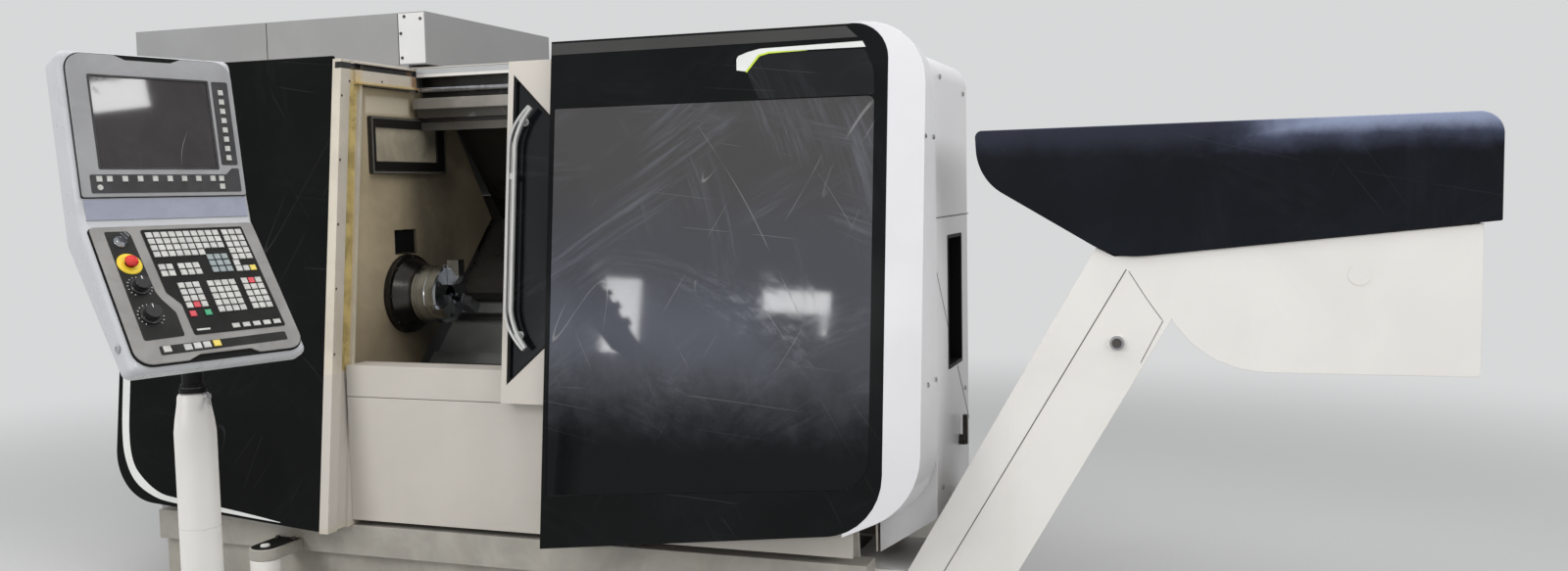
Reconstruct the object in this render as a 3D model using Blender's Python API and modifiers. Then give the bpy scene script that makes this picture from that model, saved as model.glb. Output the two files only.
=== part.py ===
"""Slant-bed CNC turning lathe with a hinge-belt chip conveyor and a control panel on a swing arm.

Bench coordinates, in metres: x = 0 is the left edge of the door opening and runs right along the
front, y = 0 is the vertical lower front plate and runs into the machine, z = 0 is the floor. All
pieces hang on one empty, which moves the finished lathe so that its origin is at the middle of its
footprint.
"""
import math

import bmesh
import bpy
from mathutils import Matrix, Vector

# Clearance between pieces that touch, and between pieces that slide
SEAT = 0.0003
RUN = 0.0006

# Front of the enclosure
LEAN = math.radians(6.4)
LEFT_FRONT_WIDTH = 0.908
JAMB_WIDTH = 0.036
JAMB_DEPTH = 0.120
JAMB_FOOT_DEPTH = 0.185
JAMB_GROOVE = (0.050, 0.105)
OPENING_WIDTH = 0.822
RIGHT_FRONT_WIDTH = 1.130
SHELL_WIDTH = 0.115
SHELL_OVERLAP = 0.120
FRONT_TOP_Z = 1.944
ROOF_Z = 1.938
ROOF_TAIL_Z = 1.450
SILL_Z = 0.866
JAMB_FOOT_TOP_Z = SILL_Z - 0.026
SILL_HEIGHT = 0.109
FASCIA_Z = 0.318
PANEL_STANDOFF = 0.070
PANEL_THICK = 0.014
SHEET = 0.005

# Right-hand edge of the black front, which the right end and the conveyor follow
RIGHT_END_X = OPENING_WIDTH + RIGHT_FRONT_WIDTH

# Base
BASE_LEFT_X = -0.870
BASE_RIGHT_X = RIGHT_END_X - 0.077
BASE_DEPTH = 1.280
BEAM_Z0 = 0.190
BEAM_Z1 = 0.298
TOE = 0.035
PLINTH_Z = 0.040
FOOT_RADIUS = 0.045

# Slant bed, in its own slant frame: s runs up the slope, n stands off it
BED_FOOT_Y = 0.520
BED_FOOT_Z = 0.740
BED_SLANT = math.radians(45)
BED_SLOPE_LENGTH = 0.820
BED_BACK_Y = 1.250
BED_LEFT_X = -0.800
BED_RIGHT_X = RIGHT_END_X - 0.112
WAY_HEIGHT = 0.045
WAY_WIDTH = 0.050
TURRET_WAYS_S = (BED_SLOPE_LENGTH * 0.5244, BED_SLOPE_LENGTH * 0.9146)
TAILSTOCK_WAYS_S = (BED_SLOPE_LENGTH * 0.0610, BED_SLOPE_LENGTH * 0.3659)
WAYS_LEFT_X = -0.020

# Spindle line
SPINDLE_Y = 0.420
SPINDLE_Z = 1.083
WALL_X = -0.034
LAMP_PROUD = 0.018
NOSE_RADIUS = 0.148
NOSE_X = -0.004
CHUCK_RADIUS = 0.1075
CHUCK_X0 = 0.055
CHUCK_X1 = 0.158
CHUCK_BORE = 0.030
SPINDLE_BORE = 0.033
SPINDLE_RADIUS = 0.080
HEADSTOCK_LEFT_X = -0.620
JAW_WIDTH = 0.040
JAW_TONGUE = 0.020
JAW_HEIGHT = 0.050
JAW_INNER_R = 0.036
JAW_OUTER_R = 0.128
JAW_NOSE_R = 0.066

# Turret and tailstock at rest
SADDLE_X0 = BED_RIGHT_X - 0.790
SADDLE_LENGTH = 0.370
Z_TRAVEL = 0.620
SADDLE_THICK = 0.075
TURRET_S = TURRET_WAYS_S[0] + 0.150
DISC_RADIUS = 0.130
DISC_WIDTH = 0.090
STATIONS = 12
TAILSTOCK_X0 = BED_RIGHT_X - 0.320
TAILSTOCK_LENGTH = 0.260
QUILL_RADIUS = 0.034
COVER_THICK = 0.003

# Sliding door at rest, which is fully open
DOOR_X0 = OPENING_WIDTH - 0.179
DOOR_WIDTH = 0.890
DOOR_Z0 = 0.767
DOOR_Z1 = 1.896
DOOR_SETBACK = 0.036
DOOR_THICK = 0.030
DOOR_CHAMFER = 0.160
DOOR_STILE = 0.020
DOOR_FLOOR = 0.012
DOOR_PANE = 0.006
RAIL_YZ = (0.500, 1.852)
RAIL_RADIUS = 0.010

# Right end
SIDE_X = RIGHT_END_X + 0.110
SIDE_BACK_Y = 0.680
SIDE_TOP_Z = 1.845
SHELL_BACK_Y = 0.160
RECESS_Y = (0.355, 0.560)
RECESS_Z = (0.870, 1.285)

# Electrical cabinet over and beside the headstock
CABINET_X0 = -1.362
CABINET_X1 = 0.036
CABINET_LEG_X1 = -0.955
CABINET_Y0 = 0.502
CABINET_Y1 = 1.445
CABINET_RISE = 0.211
CABINET_TOP_Z = ROOF_Z + CABINET_RISE
CABINET_UNDERSIDE_Z = 1.450
CABINET_WALL = 0.012
CABINET_DOOR_THICK = 0.020

# Chip conveyor
CONVEYOR_Y0 = 0.100
CONVEYOR_WIDTH = 0.388
CONVEYOR_WALL = 0.006
TROUGH_X0 = 0.105
TROUGH_X1 = RIGHT_END_X + 0.025
TROUGH_Z0 = 0.060
TROUGH_Z1 = 0.262
INCLINE = math.radians(60.3)
INCLINE_THICK = 0.285
HEAD_SHAFT_X = RIGHT_END_X + 1.298
HEAD_SHAFT_Z = 1.190
DRUM_RADIUS = 0.055
BELT_THICK = 0.010
HOOD_PROUD = 0.012
HOOD_UNDERSIDE = ((RIGHT_END_X + 0.339, 1.404), (RIGHT_END_X + 0.648, 1.240),
                  (RIGHT_END_X + 0.752, 1.243), (RIGHT_END_X + 1.639, 1.331))
HEAD_X1 = RIGHT_END_X + 1.597
IDLER_XZ = (RIGHT_END_X + 0.657, 0.989)
HEAD_Z0 = 0.914
HEAD_DROP = 0.145

# Control panel, its arm and its keys
ARM_PIVOT = (-0.270, -0.130)
POST_XY = (0.385, -1.098)
ARM_Z = 0.110
ARM_RADIUS = 0.045
POST_RADIUS = 0.051
POST_TOP_Z = 0.925
NECK_RADIUS = 0.028
STEM_TOP_Z = 1.285
PANEL_CENTRE = (0.331, -1.124, 1.646)
PANEL_YAW = math.radians(73.0)
PANEL_TILT = math.radians(8.6)
DESK_TILT = math.radians(27.0)
PANEL_WIDTH = 0.450
PANEL_MID_X = 0.010
PANEL_TOP = 0.182
PANEL_BEND_TOP = -0.190
PANEL_BEND = -0.256
PANEL_DEPTH = 0.085
SCREEN_W = 0.304
SCREEN_H = 0.228
SOFT_KEY = 0.014
SIDE_KEYS_X = 0.1755
SIDE_KEYS_PITCH = 0.0249
ROW_KEYS_X = (-0.169, -0.144, -0.106, -0.068, -0.030, 0.008, 0.046, 0.084, 0.123, 0.147)
ROW_KEYS_Y = -0.142

# Desk of the control panel, measured from the bend
DESK_LENGTH = 0.415
DESK_TOP = -0.010
DESK_RIM = 0.013
DESK_FLARE_LEFT = 0.016
DESK_DRAW_RIGHT = 0.007
KEY = 0.016
KEY_PITCH = 0.0193
KEY_FIELD = (-0.093, 0.176, -0.024, -0.336)
KEY_BLOCKS = ((10, 3, -0.078, -0.042), (7, 1, -0.078, -0.100), (3, 5, 0.121, -0.042),
              (2, 2, -0.079, -0.138), (3, 2, -0.030, -0.138), (3, 3, 0.054, -0.116),
              (1, 1, 0.118, -0.138), (3, 1, 0.118, -0.156), (3, 4, -0.051, -0.195),
              (4, 5, 0.025, -0.195), (3, 5, 0.117, -0.194))
CYCLE_ROW_Y = -0.278
STOP_KEY_X = -0.051
START_KEY_X = -0.012
COMMAND_KEYS_X = (-0.147, -0.096, -0.072, -0.048, -0.022)
STOP_STEM = 0.011
KEY_SWITCH_XY = (-0.152, -0.056)
STOP_XY = (-0.152, -0.122)
SPINDLE_KNOB_XY = (-0.150, -0.188)
FEED_KNOB_XY = (-0.152, -0.270)


def finish(name, colour, roughness, metallic=0.0):
    """One plain material for one kind of surface."""
    material = bpy.data.materials.new(name)
    material.use_nodes = True
    shader = material.node_tree.nodes["Principled BSDF"]
    shader.inputs["Base Color"].default_value = (*colour, 1.0)
    shader.inputs["Roughness"].default_value = roughness
    shader.inputs["Metallic"].default_value = metallic
    material.diffuse_color = (*colour, 1.0)
    return material


def clear_scene():
    """Remove what the open file holds."""
    for thing in list(bpy.data.objects):
        bpy.data.objects.remove(thing, do_unlink=True)


clear_scene()
SCENE = bpy.context.scene
PARTS = bpy.data.collections.new("cnc_turning_lathe")
CUTTERS = bpy.data.collections.new("cutters")
SCENE.collection.children.link(PARTS)
SCENE.collection.children.link(CUTTERS)

CREAM = finish("cream_white_panel", (0.80, 0.77, 0.70), 0.45)
BLACK = finish("satin_black_panel", (0.012, 0.013, 0.014), 0.40)
GLASS = finish("tinted_glass", (0.05, 0.06, 0.075), 0.12)
STEEL = finish("ground_steel", (0.55, 0.54, 0.52), 0.28, 1.0)
IRON = finish("cast_iron", (0.16, 0.16, 0.16), 0.6, 0.3)
STAINED = finish("stained_cream_sheet", (0.52, 0.46, 0.33), 0.5)
COVER = finish("dark_way_cover", (0.03, 0.03, 0.03), 0.35, 0.6)
GREY = finish("grey_casing", (0.50, 0.49, 0.47), 0.5)
BEZEL = finish("grey_bezel", (0.22, 0.22, 0.23), 0.45)
KEYS = finish("light_keys", (0.55, 0.55, 0.53), 0.5)
RED = finish("red_plastic", (0.6, 0.02, 0.02), 0.4)
GREEN = finish("green_plastic", (0.05, 0.35, 0.16), 0.45)
HOOD = finish("blue_black_sheet", (0.012, 0.016, 0.024), 0.35)


def empty(name, matrix, parent=None):
    """An empty that marks a frame or a joint axis, at a matrix in bench coordinates."""
    marker = bpy.data.objects.new(name, None)
    marker.empty_display_size = 0.05
    PARTS.objects.link(marker)
    marker.matrix_world = matrix
    if parent is not None:
        marker.parent = parent
        marker.matrix_parent_inverse = parent.matrix_world.inverted()
    return marker


def place(name, bm, material, matrix=Matrix(), collection=None, smooth=None):
    """Turn a bmesh into a named object, with its faces out."""
    bmesh.ops.recalc_face_normals(bm, faces=bm.faces)
    mesh = bpy.data.meshes.new(name)
    bm.to_mesh(mesh)
    bm.free()
    if smooth is not None:
        mesh.shade_smooth()
        mesh.set_sharp_from_angle(angle=smooth)
    thing = bpy.data.objects.new(name, mesh)
    (collection or PARTS).objects.link(thing)
    thing.matrix_world = matrix
    if material is not None:
        mesh.materials.append(material)
    return thing


def frame(origin, along_x, along_y):
    """A matrix whose local X and Y run along two given directions."""
    x = Vector(along_x).normalized()
    y = Vector(along_y).normalized()
    z = x.cross(y)
    matrix = Matrix((x, y, z)).transposed().to_4x4()
    matrix.translation = Vector(origin)
    return matrix


def side_frame(x):
    """Outline in (y, z), thickness towards +x."""
    return frame((x, 0, 0), (0, 1, 0), (0, 0, 1))


def front_frame(y):
    """Outline in (x, z), thickness towards the front."""
    return frame((0, y, 0), (1, 0, 0), (0, 0, 1))


def plan_frame(z):
    """Outline in (x, y), thickness upwards."""
    return frame((0, 0, z), (1, 0, 0), (0, 1, 0))


def lean_frame(stand_off=0.0):
    """The leaning front plane: outline in (x, height along the plane), thickness to the front."""
    along = Vector((0, math.sin(LEAN), math.cos(LEAN)))
    out = Vector((0, -math.cos(LEAN), math.sin(LEAN)))
    origin = Vector((0, -PANEL_STANDOFF, SILL_Z)) + out * stand_off
    return frame(origin, (1, 0, 0), along)


def lean_s(z):
    """Height along the leaning plane for a height above the floor."""
    return (z - SILL_Z) / math.cos(LEAN)


def slant_frame(x=0.0):
    """The bed's slope: outline in (s, n), thickness towards +x."""
    up = (0, math.cos(BED_SLANT), math.sin(BED_SLANT))
    off = (0, -math.sin(BED_SLANT), math.cos(BED_SLANT))
    return frame((x, BED_FOOT_Y, BED_FOOT_Z), up, off)


def slant_point(s, n, x=0.0):
    """A point of the slope frame in bench coordinates."""
    return slant_frame(x) @ Vector((s, n, 0))


def prism_mesh(outline, depth):
    """Extrude a closed outline from z = 0 to z = depth."""
    bm = bmesh.new()
    face = bm.faces.new([bm.verts.new((u, v, 0.0)) for u, v in outline])
    extruded = bmesh.ops.extrude_face_region(bm, geom=[face])
    moved = [item for item in extruded["geom"] if isinstance(item, bmesh.types.BMVert)]
    bmesh.ops.translate(bm, verts=moved, vec=(0, 0, depth))
    return bm


def prism(name, outline, depth, matrix, material, **options):
    """A flat outline given thickness, placed by a frame."""
    return place(name, prism_mesh(outline, depth), material, matrix, **options)


def rect(u0, u1, v0, v1):
    """The four corners of a rectangle."""
    return [(u0, v0), (u1, v0), (u1, v1), (u0, v1)]


def fillet(points, steps=5):
    """A closed outline whose corners (u, v, radius) are rounded with arcs."""
    out = []
    count = len(points)
    for i, (u, v, radius) in enumerate(points):
        if radius <= 0:
            out.append((u, v))
            continue
        corner = Vector((u, v))
        back = (Vector(points[i - 1][:2]) - corner).normalized()
        ahead = (Vector(points[(i + 1) % count][:2]) - corner).normalized()
        half = back.angle(ahead) / 2
        reach = radius / math.tan(half)
        centre = corner + (back + ahead).normalized() * (radius / math.sin(half))
        start = corner + back * reach - centre
        end = corner + ahead * reach - centre
        first = math.atan2(start.y, start.x)
        sweep = math.remainder(math.atan2(end.y, end.x) - first, math.tau)
        for k in range(steps + 1):
            angle = first + sweep * k / steps
            out.append((centre.x + radius * math.cos(angle), centre.y + radius * math.sin(angle)))
    return out


def box(name, x, y, z, material, matrix=Matrix(), **options):
    """A block between two corners, each axis given as a pair."""
    bm = bmesh.new()
    bmesh.ops.create_cube(bm, size=1.0)
    size = (x[1] - x[0], y[1] - y[0], z[1] - z[0])
    middle = ((x[0] + x[1]) / 2, (y[0] + y[1]) / 2, (z[0] + z[1]) / 2)
    bmesh.ops.scale(bm, vec=size, verts=bm.verts)
    bmesh.ops.translate(bm, vec=middle, verts=bm.verts)
    return place(name, bm, material, matrix, **options)


def rod(name, start, end, radius, material, sides=24, radius_end=None, **options):
    """A round bar or a cone between two points."""
    a = Vector(start)
    b = Vector(end)
    bm = bmesh.new()
    bmesh.ops.create_cone(bm, cap_ends=True, segments=sides, radius1=radius,
                          radius2=radius if radius_end is None else radius_end,
                          depth=(b - a).length)
    turn = Vector((0, 0, 1)).rotation_difference(b - a).to_matrix().to_4x4()
    matrix = Matrix.Translation((a + b) / 2) @ turn
    return place(name, bm, material, matrix, smooth=math.radians(40), **options)


def turned(name, profile, matrix, material, steps=32):
    """A turned piece: profile (radius, height) from top to bottom of its outer side, about Z."""
    mesh = bpy.data.meshes.new(name)
    rows = [(radius, 0.0, height) for radius, height in profile]
    mesh.from_pydata(rows, [(i, i + 1) for i in range(len(rows) - 1)], [])
    thing = bpy.data.objects.new(name, mesh)
    PARTS.objects.link(thing)
    thing.matrix_world = matrix
    mesh.materials.append(material)
    spin = thing.modifiers.new("turned", "SCREW")
    spin.steps = steps
    spin.render_steps = steps
    spin.use_merge_vertices = True
    spin.merge_threshold = 0.00001
    spin.use_smooth_shade = False
    return thing


def combine(target, tool, operation):
    """Apply a Boolean whose tool stays hidden and moves with its target."""
    for owner in list(tool.users_collection):
        owner.objects.unlink(tool)
    CUTTERS.objects.link(tool)
    tool.hide_render = True
    tool.display_type = "WIRE"
    tool.parent = target
    tool.matrix_parent_inverse = target.matrix_world.inverted()
    step = target.modifiers.new(tool.name, "BOOLEAN")
    step.operation = operation
    step.solver = "EXACT"
    step.object = tool
    return target


def cut(target, tool):
    """Cut one piece with another."""
    return combine(target, tool, "DIFFERENCE")


def join(target, tool):
    """Weld one piece onto another."""
    return combine(target, tool, "UNION")


def round_edges(thing, width, segments=2, angle=40):
    """Round the sharp edges of a piece."""
    step = thing.modifiers.new("round", "BEVEL")
    step.width = width
    step.segments = segments
    step.limit_method = "ANGLE"
    step.angle_limit = math.radians(angle)
    step.harden_normals = False
    return thing


def blocks(name, cells, height, matrix, sink=0.001):
    """Many small blocks as one cutter or welding piece: cells are (u, v, width, depth)."""
    bm = bmesh.new()
    for u, v, width, depth in cells:
        made = bmesh.ops.create_cube(bm, size=1.0)["verts"]
        bmesh.ops.scale(bm, vec=(width, depth, height + sink), verts=made)
        bmesh.ops.translate(bm, vec=(u, v, (height - sink) / 2), verts=made)
    return place(name, bm, None, matrix)


def hang(parent, *things):
    """Parent pieces without moving them."""
    for thing in things:
        thing.parent = parent
        thing.matrix_parent_inverse = parent.matrix_world.inverted()


# Values that follow from the sizes above
RIGHT_PANEL_X0 = OPENING_WIDTH
RIGHT_PANEL_X1 = RIGHT_END_X
SHELL_X1 = RIGHT_PANEL_X1 + SHELL_WIDTH
LEFT_PANEL_X0 = -JAMB_WIDTH - LEFT_FRONT_WIDTH
FASCIA_TOP = SILL_Z - SILL_HEIGHT
CONVEYOR_Y1 = CONVEYOR_Y0 + CONVEYOR_WIDTH
SPINDLE_S = ((SPINDLE_Y - BED_FOOT_Y) + (SPINDLE_Z - BED_FOOT_Z)) / math.sqrt(2)
SPINDLE_N = ((SPINDLE_Z - BED_FOOT_Z) - (SPINDLE_Y - BED_FOOT_Y)) / math.sqrt(2)
AXIS_X = frame((0, SPINDLE_Y, SPINDLE_Z), (0, 1, 0), (0, 0, 1))


def make_base():
    """Welded base frame on levelling feet, with the tunnel that takes the conveyor."""
    z0 = PLINTH_Z
    profile = [(0, BEAM_Z1), (0, BEAM_Z0), (TOE, BEAM_Z0), (TOE, z0), (BASE_DEPTH - TOE, z0),
               (BASE_DEPTH - TOE, BEAM_Z0), (BASE_DEPTH, BEAM_Z0), (BASE_DEPTH, BEAM_Z1)]
    base = prism("machine_base", profile, BASE_RIGHT_X - BASE_LEFT_X, side_frame(BASE_LEFT_X), CREAM)
    tunnel = box("conveyor_tunnel", (TROUGH_X0 - 0.01, BASE_RIGHT_X + 0.1),
                 (CONVEYOR_Y0 - SEAT, CONVEYOR_Y1 + SEAT), (TROUGH_Z0 - SEAT, BEAM_Z1 + 0.1), None)
    cut(base, tunnel)
    inset = TOE + FOOT_RADIUS + 0.01
    rows = (inset, BASE_DEPTH - inset)
    columns = (BASE_LEFT_X + 0.10, (BASE_LEFT_X + BASE_RIGHT_X) / 2, BASE_RIGHT_X - 0.12)
    for row in rows:
        for column in columns:
            foot = rod("levelling_foot", (column, row, 0), (column, row, z0 + 0.002), FOOT_RADIUS,
                       None, sides=16, radius_end=FOOT_RADIUS * 0.7)
            join(base, foot)
    return [base]


def make_bed():
    """Slant bed casting with its four guideways."""
    top = slant_point(BED_SLOPE_LENGTH, 0)
    z0 = BEAM_Z1 + SEAT
    profile = [(BED_FOOT_Y, z0), (BED_FOOT_Y, BED_FOOT_Z), (top.y, top.z), (BED_BACK_Y, top.z),
               (BED_BACK_Y, z0)]
    bed = prism("slant_bed", profile, BED_RIGHT_X - BED_LEFT_X, side_frame(BED_LEFT_X), IRON)
    neck = WAY_WIDTH * 0.18
    for s in TURRET_WAYS_S + TAILSTOCK_WAYS_S:
        way = [(s, -0.002), (s + WAY_WIDTH, -0.002), (s + WAY_WIDTH, 0.006),
               (s + WAY_WIDTH - neck, 0.014), (s + WAY_WIDTH - neck, 0.026),
               (s + WAY_WIDTH, 0.034), (s + WAY_WIDTH, WAY_HEIGHT), (s, WAY_HEIGHT),
               (s, 0.034), (s + neck, 0.026), (s + neck, 0.014), (s, 0.006)]
        join(bed, prism("guideway", way, BED_RIGHT_X - WAYS_LEFT_X, slant_frame(WAYS_LEFT_X), None))
    return [bed]


def make_headstock():
    """Headstock casting on the bed, bored for the spindle."""
    lift = SEAT * 1.5
    foot = [slant_point(s, lift) for s in (0.0, 0.61)]
    outline = [(foot[0].y, foot[0].z, 0), (foot[1].y, foot[1].z, 0), (foot[1].y - 0.08, 1.33, 0.05),
               (0.30, 1.33, 0.06), (0.20, 1.20, 0.04), (0.20, 0.90, 0.05), (0.36, 0.745, 0.03)]
    body = prism("headstock", fillet(outline, 3), WALL_X - 0.004 - HEADSTOCK_LEFT_X,
                 side_frame(HEADSTOCK_LEFT_X), IRON)
    bore = rod("spindle_bore", (HEADSTOCK_LEFT_X - 0.1, SPINDLE_Y, SPINDLE_Z),
               (0.1, SPINDLE_Y, SPINDLE_Z), SPINDLE_RADIUS + RUN, None, sides=32)
    return [cut(body, bore)]


def make_spindle():
    """Hollow spindle with its nose flange and the clamping cylinder on its tail."""
    tail = HEADSTOCK_LEFT_X - 0.23
    profile = [(SPINDLE_BORE, CHUCK_X0 - SEAT), (CHUCK_RADIUS * 0.93, CHUCK_X0 - SEAT),
               (CHUCK_RADIUS * 0.93, CHUCK_X0 - 0.008), (CHUCK_RADIUS, CHUCK_X0 - 0.012),
               (NOSE_RADIUS - 0.012, NOSE_X), (NOSE_RADIUS, NOSE_X - 0.004),
               (NOSE_RADIUS, WALL_X + 0.006), (SPINDLE_RADIUS, WALL_X + 0.006),
               (SPINDLE_RADIUS, HEADSTOCK_LEFT_X - 0.03), (0.100, HEADSTOCK_LEFT_X - 0.03),
               (0.100, tail + 0.02), (0.086, tail), (SPINDLE_BORE, tail),
               (SPINDLE_BORE, CHUCK_X0 - SEAT)]
    return [turned("spindle", profile, AXIS_X, STEEL, steps=40)]


def jaw_frame(index):
    """Local Z along the spindle, local X radially outwards for one of the three jaws."""
    return AXIS_X @ Matrix.Rotation(math.radians(90 + 120 * index), 4, "Z")


def make_chuck():
    """Three-jaw power chuck: body with T-slots, and its block jaws."""
    edge = 0.006
    profile = [(CHUCK_BORE, CHUCK_X1), (CHUCK_RADIUS - edge, CHUCK_X1), (CHUCK_RADIUS, CHUCK_X1 - edge),
               (CHUCK_RADIUS, CHUCK_X1 - 0.040), (CHUCK_RADIUS - 0.002, CHUCK_X1 - 0.042),
               (CHUCK_RADIUS - 0.002, CHUCK_X1 - 0.046), (CHUCK_RADIUS, CHUCK_X1 - 0.048),
               (CHUCK_RADIUS, CHUCK_X0 + 0.004), (CHUCK_RADIUS - 0.004, CHUCK_X0),
               (CHUCK_BORE, CHUCK_X0), (CHUCK_BORE, CHUCK_X1)]
    body = turned("chuck_body", profile, AXIS_X, STEEL, steps=48)
    made = [body]
    depth = 0.022
    wide = JAW_TONGUE * 1.5
    for index in range(3):
        matrix = jaw_frame(index) @ frame((CHUCK_BORE * 0.4, 0, 0), (0, 1, 0), (0, 0, 1))
        slot = [(-wide / 2 - RUN, CHUCK_X1 - depth), (wide / 2 + RUN, CHUCK_X1 - depth),
                (wide / 2 + RUN, CHUCK_X1 - depth / 2), (JAW_TONGUE / 2 + RUN, CHUCK_X1 - depth / 2),
                (JAW_TONGUE / 2 + RUN, CHUCK_X1 + 0.01), (-JAW_TONGUE / 2 - RUN, CHUCK_X1 + 0.01),
                (-JAW_TONGUE / 2 - RUN, CHUCK_X1 - depth / 2), (-wide / 2 - RUN, CHUCK_X1 - depth / 2)]
        cut(body, prism("jaw_slot", slot, CHUCK_RADIUS * 1.2, matrix, None))
        tongue = [(-wide / 2, CHUCK_X1 - depth + RUN), (wide / 2, CHUCK_X1 - depth + RUN),
                  (wide / 2, CHUCK_X1 - depth / 2 - RUN), (JAW_TONGUE / 2, CHUCK_X1 - depth / 2 - RUN),
                  (JAW_TONGUE / 2, CHUCK_X1 + RUN), (JAW_WIDTH / 2, CHUCK_X1 + RUN),
                  (JAW_WIDTH / 2, CHUCK_X1 + JAW_HEIGHT), (-JAW_WIDTH / 2, CHUCK_X1 + JAW_HEIGHT),
                  (-JAW_WIDTH / 2, CHUCK_X1 + RUN), (-JAW_TONGUE / 2, CHUCK_X1 + RUN),
                  (-JAW_TONGUE / 2, CHUCK_X1 - depth / 2 - RUN), (-wide / 2, CHUCK_X1 - depth / 2 - RUN)]
        base = jaw_frame(index) @ frame((JAW_INNER_R, 0, 0), (0, 1, 0), (0, 0, 1))
        jaw = prism("chuck_jaw_%d" % (index + 1), tongue, JAW_OUTER_R - JAW_INNER_R, base, STEEL)
        high = CHUCK_X1 + JAW_HEIGHT
        shoulder = [(0, CHUCK_X1 + RUN), (JAW_NOSE_R, high), (JAW_NOSE_R, high + 0.02), (0, high + 0.02)]
        cut(jaw, prism("jaw_nose", shoulder, 0.2,
                       jaw_frame(index) @ frame((0, 0.1, 0), (1, 0, 0), (0, 0, 1)), None))
        tail = CHUCK_RADIUS + 0.002
        cut(jaw, box("jaw_tail", (tail, JAW_OUTER_R + 0.02), (-0.1, 0.1),
                     (CHUCK_X1 - 0.1, CHUCK_X1 + RUN * 3), None, jaw_frame(index)))
        made.append(jaw)
    return made


def leaning_y(z, depth=0.0):
    """Where a plane set back into the machine from the leaning front meets a height."""
    return -PANEL_STANDOFF + math.tan(LEAN) * (z - SILL_Z) + depth / math.cos(LEAN)


def wall_outline():
    """Inner wall between the jamb, the beam, the rear slope and the bed covers."""
    low = slant_point(0.0, 0.075)
    high = slant_point(BED_SLOPE_LENGTH - 0.03, 0.075)
    gap = 0.001
    step = JAMB_FOOT_TOP_Z + 0.004
    return [(leaning_y(0.56, JAMB_FOOT_DEPTH) + gap, 0.56),
            (leaning_y(step, JAMB_FOOT_DEPTH) + gap, step), (leaning_y(step, JAMB_DEPTH) + gap, step),
            (leaning_y(1.846, JAMB_DEPTH) + gap, 1.846),
            (0.700, 1.846), (high.y, high.z), (low.y, low.z),
            (low.y - 0.04, 0.56)]


def make_headstock_wall():
    """Beige sheet wall around the spindle nose, with its lamp and its square port."""
    wall = prism("headstock_wall", wall_outline(), 0.004, side_frame(WALL_X), STAINED)
    cut(wall, rod("nose_hole", (WALL_X - 0.05, SPINDLE_Y, SPINDLE_Z),
                  (WALL_X + 0.05, SPINDLE_Y, SPINDLE_Z), NOSE_RADIUS + 0.002, None, sides=40))
    cut(wall, box("port_hole", (WALL_X - 0.05, WALL_X + 0.05), (0.354, 0.478), (1.239, 1.322), None))
    face = WALL_X + 0.004 + SEAT
    lamp = box("work_lamp", (face, face + LAMP_PROUD), (0.216, 0.680), (1.535, 1.744), BLACK)
    cut(lamp, box("lamp_window", (face + 0.010, face + 0.05), (0.250, 0.646), (1.568, 1.711), None))
    return [wall, lamp]


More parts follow.
